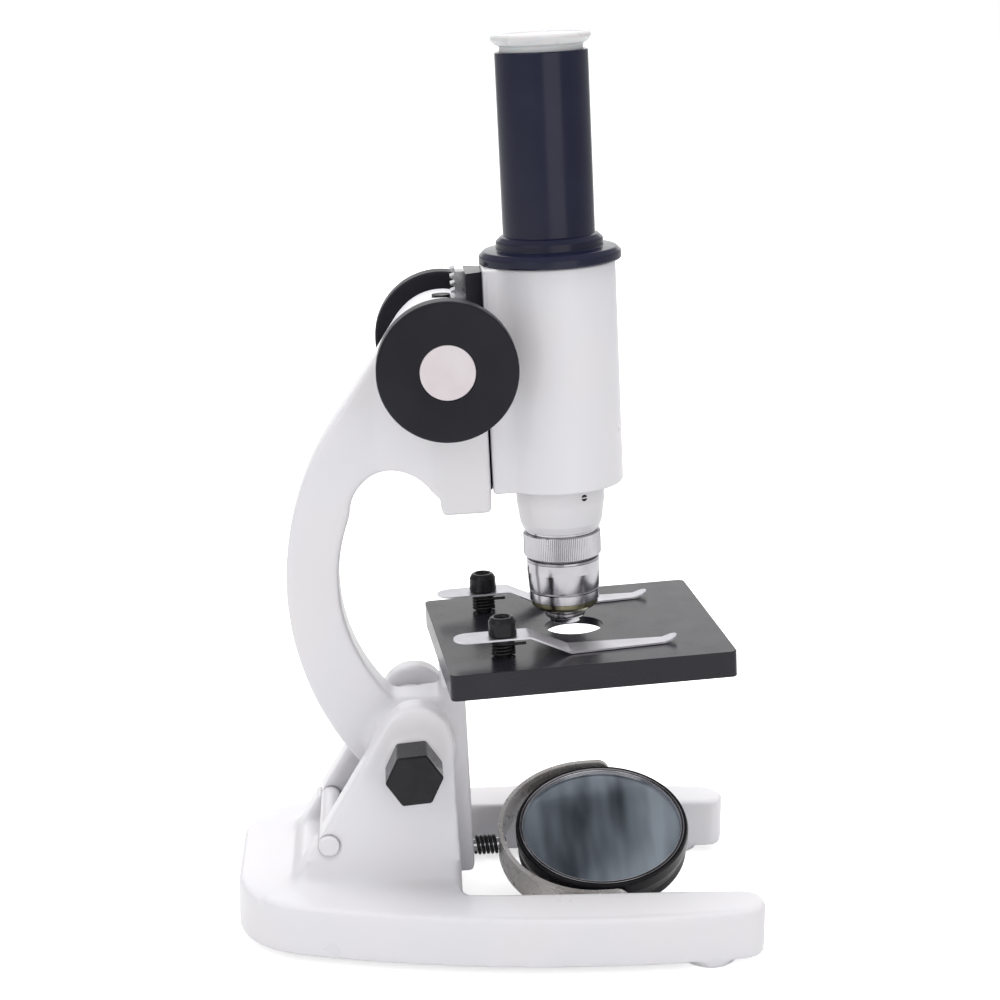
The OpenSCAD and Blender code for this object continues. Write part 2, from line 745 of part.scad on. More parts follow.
module dust_cap() {
    top = eye_seat + 7;
    plug_d = eye_d - 2.8;
    color("#f2f4f6")
    on_axis() difference() {
        union() {
            translate([0, 0, top - 3]) cylinder(d = plug_d, h = 5);
            translate([0, 0, top + 1.9]) rotate_extrude()
                polygon([[0, 0], [cap_d / 2 - 1.4, 0], [cap_d / 2, 1.4], [cap_d / 2, 2.6], [cap_d / 2 - 0.6, 3.2], [0, 3.2]]);
        }
        translate([0, 0, top - 4]) cylinder(d = plug_d - 2.4, h = 6);
    }
}

// ---- objective ----

module objective_ring() {
    color("silver")
    on_axis() difference() {
        translate([0, 0, ring_z - neck_h - ring_h - ring_ch]) rotate_extrude()
            polygon([[0, 0], [ring_d / 2 - 1.2, 0], [ring_d / 2, ring_ch], [ring_d / 2, ring_ch + ring_h - 0.3],
                [ring_d / 2 - 0.3, ring_ch + ring_h], [0, ring_ch + ring_h]]);
        translate([0, 0, ring_z - neck_h - 20]) cylinder(d = thread_d, h = 40);
    }
}

module objective_barrel() {
    low_d = barrel_d - 1.1;
    color("#c9c6cc")
    on_axis() difference() {
        union() {
            translate([0, 0, ring_z - 1]) cylinder(d = thread_d, h = 6);
            translate([0, 0, ring_z - neck_h]) cylinder(d = ring_d - 0.6, h = neck_h);
            translate([0, 0, barrel_z - 1]) cylinder(d = thread_d, h = ring_z - barrel_z);
            translate([0, 0, barrel_z - barrel_h]) rotate_extrude()
                polygon([[0, 0], [low_d / 2, 0], [low_d / 2, 3], [barrel_d / 2, barrel_h - 4],
                    [barrel_d / 2, barrel_h - 0.4], [barrel_d / 2 - 0.4, barrel_h], [0, barrel_h]]);
        }
        translate([0, 0, band_z - 1]) cylinder(d = 9, h = FAR);
        translate([0, 0, band_z - 1]) cylinder(d = 14, h = 5);
    }
}

module objective_band() {
    color("#8f8660")
    on_axis() difference() {
        union() {
            translate([0, 0, band_z]) cylinder(d = 14, h = 4);
            translate([0, 0, band_z - band_h]) rotate_extrude()
                polygon([[0, 0], [barrel_d / 2 - 2, 0], [barrel_d / 2 - 1, 1], [barrel_d / 2 - 1, band_h], [0, band_h]]);
        }
        translate([0, 0, band_z - 10]) cylinder(d = 9, h = FAR);
    }
}

module front_mount() {
    color("#d8d8da")
    on_axis() difference() {
        union() {
            translate([0, 0, front_z]) cylinder(d = 9, h = 3);
            translate([0, 0, front_z - front_h]) rotate_extrude()
                polygon([[0, 0], [front_d / 2 - 0.3, 0], [front_d / 2, 0.4], [front_d / 2, front_h], [0, front_h]]);
            translate([0, 0, front_z - front_h - tip_h]) cylinder(d1 = tip_d - 1, d2 = tip_d, h = tip_h + EPS);
        }
        translate([0, 0, front_z - 10]) cylinder(d = 4, h = FAR);
    }
}

module front_lens() {
    color("#a8c4d8", 0.5)
    on_axis() translate([0, 0, front_z - front_h - tip_h + 0.3]) crowned_lens(4, 1, 0.9);
}

// ---- stage and clips ----

module stage() {
    wall = 2.4;
    corner = 2;
    color("#36353e")
    on_stage() difference() {
        union() {
            difference() {
                translate([-stage_l / 2, -stage_w / 2, -skirt_h]) cube([stage_l, stage_w, skirt_h]);
                translate([-stage_l / 2 + wall, -stage_w / 2 + wall, -skirt_h - 1])
                    cube([stage_l - 2 * wall, stage_w - 2 * wall, skirt_h + 1 - plate_t]);
            }
            // bosses for the two stage screws and the two clip posts
            for (s = [-1, 1]) {
                rotate(-stage_yaw) translate([stage_screws_x - stage_cx, s * stage_screws_y, -plate_t - stage_boss_h])
                    cylinder(d = 8, h = stage_boss_h + 1);
                translate([-clip_back, s * clip_side, -plate_t - 2]) cylinder(d = 7.6, h = 3);
            }
        }
        translate([0, 0, -skirt_h - 1]) cylinder(d = hole_d, h = skirt_h + 5);
        for (s = [-1, 1]) {
            rotate(-stage_yaw) translate([stage_screws_x - stage_cx, s * stage_screws_y, -plate_t - stage_boss_h - 1])
                cylinder(d = stage_screw_d, h = stage_boss_h + 2);
            translate([-clip_back, s * clip_side, -skirt_h]) cylinder(d = 3, h = skirt_h + 5);
        }
        for (a = [0:3])
            rotate(180 * floor(a / 2)) translate([stage_l / 2, (a % 2 == 0 ? 1 : -1) * stage_w / 2, 0])
                mirror([0, a % 2 == 0 ? 0 : 1, 0]) translate([-corner, -corner, -skirt_h - 1])
                    difference() {
                        cube([corner + 1, corner + 1, skirt_h + 2]);
                        cylinder(r = corner, h = skirt_h + 2);
                    }
    }
}

module stage_screws() {
    under = bracket_top - bracket_t;
    color("#8a8a8e")
    lean() for (s = [-1, 1])
        translate([stage_screws_x, s * stage_screws_y, 0]) {
            translate([0, 0, under]) cylinder(d = stage_screw_d, h = bracket_t + stage_boss_h + 0.5);
            translate([0, 0, under - 0.8]) cylinder(d = stage_screw_head + 2, h = 0.8);
            translate([0, 0, under - 3.2]) cylinder(d = stage_screw_head, h = 2.4);
        }
}

module clip_posts() {
    color("#1f1f24")
    for (s = [-1, 1]) at_clip(s) {
        translate([0, 0, -plate_t - 2 - nut_h - 0.6]) cylinder(d = 3, h = plate_t + 3 + nut_h);
        cylinder(d = post_d, h = cap_z);
        translate([0, 0, cap_z]) cylinder(d = 3, h = clip_cap_h - 2);
    }
}

module clip_nuts() {
    color("#8a8a8e")
    for (s = [-1, 1]) at_clip(s)
        translate([0, 0, -plate_t - 2 - nut_h]) difference() {
            cylinder(d = nut_d, h = nut_h, $fn = 6);
            translate([0, 0, -1]) cylinder(d = 3, h = 5);
        }
}

module clip_caps() {
    color("#17171b")
    for (s = [-1, 1]) at_clip(s)
        translate([0, 0, cap_z]) difference() {
            rotate_extrude()
                polygon([[0, 0], [clip_cap_d / 2 - 0.2, 0], [clip_cap_d / 2, 0.3], [clip_cap_d / 2 - 0.3, clip_cap_h - 1.6],
                    [clip_cap_d / 2 - 1.3, clip_cap_h - 0.1], [clip_cap_d / 2 - 2, clip_cap_h], [0, clip_cap_h]]);
            translate([0, 0, -1]) cylinder(d = 3, h = clip_cap_h - 1);
        }
}

// A thin collar between the spring and the strip, which turns with the strip
module clip_collar(side) {
    color("#1f1f24")
    at_clip(side) translate([0, 0, clip_rise - 0.9]) difference() {
        cylinder(d = spring_d + 0.6, h = 0.7);
        translate([0, 0, -1]) cylinder(d = post_d + 2 * run_fit, h = 4);
    }
}

module clip_collar_near() { clip_collar(-1); }
module clip_collar_far() { clip_collar(1); }

module clip_spring(side) {
    pitch = (clip_rise - 0.9 - 0.3 - spring_wire) / spring_turns;
    color("#17171b")
    at_clip(side) translate([0, 0, 0.15]) coil(spring_d - spring_wire, spring_wire, spring_turns, pitch);
}

module clip_spring_near() { clip_spring(-1); }
module clip_spring_far() { clip_spring(1); }

// The spring strip: finger tab, level stretch over the post, slope, blade and turned-up tip
module clip_blade(side) {
    low = blade_gap;
    curl = 1.6;
    color("#b9b7b4")
    at_clip(side) difference() {
        intersection() {
            side_plate(clip_w)
                polygon([[-clip_tongue, clip_rise], [clip_flat, clip_rise], [clip_foot, low],
                    [clip_reach - 4, low], [clip_reach, low + curl], [clip_reach, low + curl + clip_t],
                    [clip_reach - 4.2, low + clip_t], [clip_foot + 0.2, low + clip_t],
                    [clip_flat + 0.2, clip_rise + clip_t - 0.05], [-clip_tongue, clip_rise + clip_t - 0.05]]);
            // plan of the strip: round tab, parallel sides, taper to the tip
            translate([0, 0, -1]) linear_extrude(20) {
                translate([-clip_tongue + clip_w / 2, 0]) circle(d = clip_w);
                polygon([[-clip_tongue + clip_w / 2, -clip_w / 2], [clip_foot, -clip_w / 2],
                    [clip_reach - tip_w / 2, -tip_w / 2], [clip_reach - tip_w / 2, tip_w / 2],
                    [clip_foot, clip_w / 2], [-clip_tongue + clip_w / 2, clip_w / 2]]);
                translate([clip_reach - tip_w / 2, 0]) circle(d = tip_w);
            }
        }
        translate([0, 0, clip_rise - 1]) cylinder(d = post_d + 0.8, h = 4);
    }
}

module clip_blade_near() { clip_blade(-1); }
module clip_blade_far() { clip_blade(1); }

// ---- mirror ----

module mirror_post() {
    color("#77777c")
    lean() x_cyl(tail_x - rod_in + 0.5, yoke_back + strap_t, 0, post_z, rod_d);
    color("silver")
    lean() x_cyl(yoke_back + strap_t, yoke_back + strap_t + rivet_h, 0, post_z, rivet_d);
}

module post_spring() {
    gap = yoke_back - tail_x - 0.3;
    wire = 1.1;
    color("#26262c")
    lean() translate([tail_x + 0.15, 0, post_z]) rotate([0, 90, 0])
        coil(rod_d + wire + 0.3, wire, 5, (gap - wire) / 5);
}

// Seen along the mirror's normal: a half ring round the back with two straight arms
module yoke_plan() {
    c = [-yoke_set_back, 0];
    polygon(concat([[yoke_pad_d / 2, yoke_out_r]], arc(c, yoke_out_r, 90, 270, 40),
        [[yoke_pad_d / 2, -yoke_out_r], [yoke_pad_d / 2, -yoke_in_r]], arc(c, yoke_in_r, 270, 90, 40),
        [[yoke_pad_d / 2, yoke_in_r]]));
}

module yoke() {
    color("#8b8680")
    on_mirror() difference() {
        intersection() {
            linear_extrude(yoke_pad_d + 1, center = true) yoke_plan();
            side_plate(FAR) {
                translate([-FAR, -strap_w / 2]) square([FAR, strap_w]);
                circle(d = yoke_pad_d);
            }
        }
        y_cyl(0, 0, pivot_d, -FAR / 2, FAR / 2);
        x_cyl(-FAR / 2, 0, 0, 0, rod_d);
    }
}

module yoke_pivots() {
    inner = mirror_d / 2 - pivot_in;
    color("#a5a5a8")
    on_mirror() for (s = [-1, 1]) {
        y_cyl(0, 0, pivot_d, s > 0 ? inner : -yoke_out_r, s > 0 ? yoke_out_r : -inner);
        y_cyl(0, 0, pivot_head_d, s > 0 ? yoke_out_r : -yoke_out_r - 1.4, s > 0 ? yoke_out_r + 1.4 : -yoke_out_r);
    }
}

module mirror_frame() {
    seat_d = glass_d + 2 * bezel_t;
    web = mirror_t - 2 * (glass_sink + glass_t);
    color("#17171b")
    on_mirror() difference() {
        translate([0, 0, -mirror_t / 2]) rotate_extrude($fn = 128)
            polygon([[0, 0], [mirror_d / 2 - 1.6, 0], [mirror_d / 2 - 1.2, 0.6], [mirror_d / 2 - 1.2, mirror_t / 2 - 3],
                [mirror_d / 2, mirror_t / 2 - 2.4], [mirror_d / 2, mirror_t - 0.5], [mirror_d / 2 - 0.5, mirror_t],
                [0, mirror_t]]);
        translate([0, 0, web / 2]) cylinder(d = seat_d, h = FAR, $fn = 128);
        translate([0, 0, -web / 2 - FAR]) cylinder(d = seat_d, h = FAR, $fn = 128);
        y_cyl(0, 0, pivot_d + 2 * run_fit, mirror_d / 2 - pivot_in - 0.1, FAR);
        y_cyl(0, 0, pivot_d + 2 * run_fit, -FAR, -mirror_d / 2 + pivot_in + 0.1);
    }
}

module mirror_bezels() {
    color("silver")
    on_mirror() for (s = [-1, 1]) mirror([0, 0, s > 0 ? 0 : 1])
        translate([0, 0, mirror_t / 2 - glass_sink]) difference() {
            cylinder(d = glass_d + 2 * bezel_t, h = glass_sink - 0.1, $fn = 128);
            translate([0, 0, -1]) cylinder(d = glass_d, h = 10, $fn = 128);
        }
}

module plane_mirror() {
    color("#8fa0b4")
    on_mirror() translate([0, 0, mirror_t / 2 - glass_sink - glass_t])
        cylinder(d = glass_d + 2 * bezel_t, h = glass_t, $fn = 128);
}

module concave_mirror() {
    dish = 1.1;
    r = (glass_d * glass_d / 4 + dish * dish) / (2 * dish);
    edge = asin(glass_d / 2 / r);
    outer = glass_d / 2 + bezel_t;
    color("#8fa0b4")
    on_mirror() translate([0, 0, -mirror_t / 2 + glass_sink]) rotate_extrude($fn = 128)
        polygon(concat([[0, glass_t], [outer, glass_t], [outer, 0]], arc([0, dish - r], r, 90 - edge, 90, 10)));
}

foot();
stop_pin();
inclination_bolt();
clamp_knob_near();
clamp_knob_far();
friction_washers();
limb();
tension_screw();
pinion_bushes();
pinion_shaft();
focus_knob_near();
focus_knob_far();
knob_disc_near();
knob_disc_far();
stage();
stage_screws();
clip_posts();
clip_nuts();
clip_caps();
clip_collar_near();
clip_spring_near();
clip_blade_near();
clip_collar_far();
clip_spring_far();
clip_blade_far();
body_tube();
slide_bar();
slide_screws();
rack();
nosepiece();
nose_screw();
eyepiece_tube();
eyepiece_barrel();
eye_lens();
field_lens();
dust_cap();
objective_ring();
objective_barrel();
objective_band();
front_mount();
front_lens();
mirror_post();
post_spring();
yoke();
yoke_pivots();
mirror_frame();
mirror_bezels();
plane_mirror();
concave_mirror();
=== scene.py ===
"""A student microscope: finished pieces and finishes built round its working frame.

Every piece is drawn in millimetres in a local place, such as the leaning limb or one clip, and takes
its size from the node that it stands for.
"""

import json
import logging
import math
from collections.abc import Callable
from dataclasses import dataclass, field
from enum import Enum

import bmesh
import bpy
from mathutils import Matrix, Vector

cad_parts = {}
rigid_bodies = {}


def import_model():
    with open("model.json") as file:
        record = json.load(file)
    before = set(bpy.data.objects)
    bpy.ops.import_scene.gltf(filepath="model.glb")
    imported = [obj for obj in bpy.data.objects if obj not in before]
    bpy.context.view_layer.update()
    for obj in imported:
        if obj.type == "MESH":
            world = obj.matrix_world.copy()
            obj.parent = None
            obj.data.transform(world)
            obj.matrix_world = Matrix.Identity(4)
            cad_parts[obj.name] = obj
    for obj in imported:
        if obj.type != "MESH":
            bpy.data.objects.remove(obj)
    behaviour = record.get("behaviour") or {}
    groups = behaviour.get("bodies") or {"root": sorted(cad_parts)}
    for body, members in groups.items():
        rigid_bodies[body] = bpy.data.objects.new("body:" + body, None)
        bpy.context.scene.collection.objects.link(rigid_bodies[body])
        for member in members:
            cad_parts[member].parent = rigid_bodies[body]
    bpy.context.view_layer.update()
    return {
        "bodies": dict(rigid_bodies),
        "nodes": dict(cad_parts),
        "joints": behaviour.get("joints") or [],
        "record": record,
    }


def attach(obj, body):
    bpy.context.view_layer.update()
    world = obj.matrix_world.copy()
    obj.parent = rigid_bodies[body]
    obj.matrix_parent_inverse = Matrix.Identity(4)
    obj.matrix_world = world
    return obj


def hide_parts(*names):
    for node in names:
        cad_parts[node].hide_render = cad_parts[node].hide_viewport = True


LOG = logging.getLogger("microscope")
MM = 0.001
COLOR = "NodeSocketColor"
FLOAT = "NodeSocketFloat"
VECTOR = "NodeSocketVector"
Triple = tuple[float, float, float]
SIDES = {"near": -1, "far": 1}
EDGE_SHARE = 0.49
SEAM = 1e-4
WELD = 1e-3
FLAT = math.radians(1)
WIRE_SIDES = 10


# ---------------------------------------------------------------- places


@dataclass(frozen=True)
class Span:
    """The box of a node in one place's own directions, in millimetres."""

    lo: Vector
    hi: Vector

    @property
    def size(self) -> Vector:
        """Give the edge lengths of the box."""
        return self.hi - self.lo

    @property
    def mid(self) -> Vector:
        """Give the middle of the box."""
        return (self.hi + self.lo) / 2


class Place:
    """Local axes somewhere on the instrument, in which pieces are drawn in millimetres."""

    def __init__(self, name: str, matrix: Matrix) -> None:
        """Keep the place's name and its matrix.

        Args:
            name: A word that names the place in material names.
            matrix: World from local, without scale, in metres.
        """
        self.name = name
        self.matrix = matrix

    def span(self, node: str) -> Span:
        """Measure a node along this place's axes.

        Args:
            node: Name of a node of the frame.

        Returns:
            The node's box in millimetres.
        """
        inverse = self.matrix.inverted()
        points = [inverse @ v.co / MM for v in bpy.data.objects[node].data.vertices]
        lo = Vector([min(p[i] for p in points) for i in range(3)])
        hi = Vector([max(p[i] for p in points) for i in range(3)])
        return Span(lo, hi)

    def moved(self, name: str, offset: Vector, turn: Matrix | None = None) -> "Place":
        """Make a place that is shifted, then turned, in this place's axes.

        Args:
            name: Name of the new place.
            offset: Shift in millimetres.
            turn: Rotation about the new origin.

        Returns:
            The new place.
        """
        matrix = self.matrix @ Matrix.Translation(offset * MM)
        return Place(name, matrix @ turn if turn else matrix)


@dataclass
class Places:
    """Every place that pieces are drawn in, worked out from the joints of the frame."""

    joints: dict[str, dict]
    world: Place = field(init=False)
    arm: Place = field(init=False)
    axis: Place = field(init=False)
    pinion: Place = field(init=False)
    stage: Place = field(init=False)
    clips: dict[str, Place] = field(init=False)
    post: Place = field(init=False)
    mirror: Place = field(init=False)

    def __post_init__(self) -> None:
        """Work out the places one from another."""
        self.world = Place("world", Matrix.Identity(4))
        up = Vector(self.joints["focus_slide"]["axis"])
        lean = Matrix.Rotation(math.atan2(up.x, up.z), 4, "Y")
        hinge = Vector(self.joints["inclination"]["pos_m"])
        self.arm = Place("arm", Matrix.Translation(hinge) @ lean)
        self.axis = self.arm.moved("axis", Vector((self.arm.span("dust_cap").mid.x, 0, 0)))
        self.pinion = self._at("pinion", "focus_knob", lean)
        self.post = self._at("post", "mirror_roll", lean)
        near = Vector(self.joints["clip_swivel_near"]["pos_m"])
        far = Vector(self.joints["clip_swivel_far"]["pos_m"])
        across = lean.to_3x3().inverted() @ (far - near)
        turn = lean @ Matrix.Rotation(math.atan2(-across.x, across.y), 4, "Z")
        middle = Place("stage", Matrix.Translation((near + far) / 2) @ turn)
        box = middle.span("stage")
        self.stage = middle.moved("stage", Vector((box.mid.x, box.mid.y, box.hi.z)))
        self.clips = {}
        for side in SIDES:
            spot = self._at("clip_" + side, "clip_swivel_" + side, turn)
            self.clips[side] = spot.moved(spot.name, Vector((0, 0, spot.span("stage").hi.z)))
        tilt = Vector(self.joints["mirror_tilt"]["axis"]).normalized()
        ahead = Vector(self.joints["mirror_roll"]["axis"]).normalized()
        turn = Matrix((ahead, tilt, ahead.cross(tilt))).transposed().to_4x4()
        self.mirror = self._at("mirror", "mirror_tilt", turn)

    def _at(self, name: str, joint: str, turn: Matrix) -> Place:
        """Make a place at a joint's point.

        Args:
            name: Name of the place.
            joint: The joint whose point is the origin.
            turn: Directions of the place's axes.

        Returns:
            The place.
        """
        return Place(name, Matrix.Translation(Vector(self.joints[joint]["pos_m"])) @ turn)


# ---------------------------------------------------------------- finishes


class Lines(Enum):
    """Fine tool marks that a finish may carry."""

    NONE = 0
    TURNED = 1
    BRUSHED = 2


@dataclass(frozen=True)
class Finish:
    """One surface finish: its colours, gloss, grain and tool marks. Lengths are millimetres."""

    name: str
    slot: str
    base: Triple
    drift: Triple
    rough: tuple[float, float] = (0.3, 0.4)
    metallic: float = 0.0
    ior: float = 1.5
    coat: float = 0.0
    grain_size: float = 1.0
    grain_depth: float = 0.01
    cloud_size: float = 18.0
    lines: Lines = Lines.NONE
    line_gap: float = 0.3
    line_depth: float = 0.004
    transmission: float = 0.0
    subsurface: float = 0.0
    stretch: Triple = (1.0, 1.0, 1.0)


WHITE_ENAMEL = Finish("white_enamel", "white_enamel", (0.70, 0.697, 0.735), (0.725, 0.705, 0.72),
                      (0.27, 0.33), coat=0.15, grain_size=3.0, grain_depth=0.002, cloud_size=34)
BLACK_ENAMEL = Finish("black_enamel", "black_enamel", (0.012, 0.011, 0.0155), (0.018, 0.017, 0.0225),
                      (0.2, 0.3), ior=1.36, grain_size=1.2, grain_depth=0.003, cloud_size=24)
CHARCOAL = Finish("charcoal_plastic", "charcoal_plastic", (0.010, 0.010, 0.014), (0.014, 0.014, 0.019),
                  (0.36, 0.46), ior=1.28, grain_size=0.35, grain_depth=0.006, cloud_size=16)
BLUE_BLACK = Finish("blue_black_plastic", "blue_black_plastic", (0.008, 0.0095, 0.027),
                    (0.012, 0.0135, 0.034), (0.16, 0.24), ior=1.38, grain_size=0.8, grain_depth=0.001,
                    cloud_size=18)
GLOSS_BLACK = Finish("gloss_black", "black_plastic", (0.008, 0.008, 0.010), (0.013, 0.012, 0.014),
                     (0.16, 0.28), ior=1.32, grain_size=0.6, grain_depth=0.003, cloud_size=6)
PALE_DISC = Finish("pale_disc", "pale_plastic", (0.62, 0.55, 0.575), (0.67, 0.625, 0.64),
                   (0.4, 0.5), grain_size=0.5, grain_depth=0.004, cloud_size=9)
MILKY = Finish("milky_plastic", "milky_plastic", (0.60, 0.605, 0.615), (0.66, 0.665, 0.67),
               (0.25, 0.36), grain_size=1.2, grain_depth=0.004, cloud_size=9, subsurface=0.3)
ZINC = Finish("zinc_steel", "zinc_steel", (0.42, 0.42, 0.44), (0.52, 0.51, 0.52),
              (0.24, 0.36), metallic=1.0, grain_size=0.4, grain_depth=0.002, cloud_size=3,
              lines=Lines.TURNED, line_depth=0.002)
BLACKENED = Finish("blackened_steel", "dark_steel", (0.010, 0.010, 0.012), (0.022, 0.021, 0.022),
                   (0.24, 0.36), metallic=0.4, grain_size=0.4, grain_depth=0.003, cloud_size=3)
CLIP_STEEL = Finish("clip_steel", "clip_steel", (0.66, 0.65, 0.69), (0.78, 0.77, 0.81),
                    (0.38, 0.5), metallic=1.0, grain_size=2.5, grain_depth=0.004, cloud_size=12,
                    lines=Lines.BRUSHED, line_gap=0.4, line_depth=0.0008)
NICKEL = Finish("nickel", "nickel", (0.44, 0.43, 0.455), (0.54, 0.53, 0.555),
                (0.12, 0.2), metallic=1.0, grain_size=2.0, grain_depth=0.001, cloud_size=7,
                lines=Lines.TURNED, line_gap=0.22, line_depth=0.001)
OLIVE_GOLD = Finish("olive_gold", "olive_gold", (0.22, 0.205, 0.12), (0.32, 0.295, 0.19),
                    (0.16, 0.26), metallic=1.0, grain_size=0.5, grain_depth=0.001, cloud_size=4,
                    lines=Lines.TURNED, line_depth=0.001)
STRAP_NICKEL = Finish("strap_nickel", "nickel_strap", (0.60, 0.57, 0.55), (0.88, 0.86, 0.84),
                      (0.22, 0.34), metallic=0.6, grain_size=3.0, grain_depth=0.004, cloud_size=16,
                      lines=Lines.TURNED, line_gap=0.5, line_depth=0.0012)
BRASS = Finish("brass", "brass", (0.52, 0.36, 0.13), (0.60, 0.43, 0.18), (0.25, 0.38), metallic=1.0,
               grain_size=0.5, grain_depth=0.002, cloud_size=4)
FIBRE = Finish("fibre", "fibre", (0.16, 0.06, 0.03), (0.22, 0.09, 0.05), (0.7, 0.85),
               grain_size=0.4, grain_depth=0.02, cloud_size=5)
LENS = Finish("lens_glass", "lens_glass", (0.92, 0.95, 1.0), (0.95, 0.97, 1.0), (0.02, 0.04),
              grain_depth=0.0, transmission=1.0, ior=1.52)
# Painted reflection: the mirror glass's light, vertically stretched streaks of tone and its raised diffuse
# colour stand in for what the silvered glass mirrors.
MIRROR_GLASS = Finish("mirror_glass", "mirror_glass", (0.07, 0.085, 0.11), (0.56, 0.64, 0.73),
                      (0.08, 0.16), metallic=0.4, grain_size=30, grain_depth=0.01, cloud_size=11,
                      stretch=(1.0, 0.22, 1.0))


def feed(tree: bpy.types.NodeTree, node: bpy.types.Node, inputs: dict) -> None:
    """Feed the inputs of a shader node.

    Args:
        tree: The node tree.
        node: The node.
        inputs: A value, or the socket to read, for each input by name or number.
    """
    for label, value in inputs.items():
        if isinstance(value, bpy.types.NodeSocket):
            tree.links.new(value, node.inputs[label])
        else:
            node.inputs[label].default_value = value


def add_node(tree: bpy.types.NodeTree, kind: str, inputs: dict, **settings: object) -> bpy.types.Node:
    """Add a shader node, set it up and feed its inputs.

    Args:
        tree: The node tree.
        kind: Type of the node, without the prefix that all of them share.
        inputs: As for feed.
        **settings: Properties of the node.

    Returns:
        The new node.
    """
    node = tree.nodes.new("ShaderNode" + kind)
    for label, value in settings.items():
        setattr(node, label, value)
    feed(tree, node, inputs)
    return node


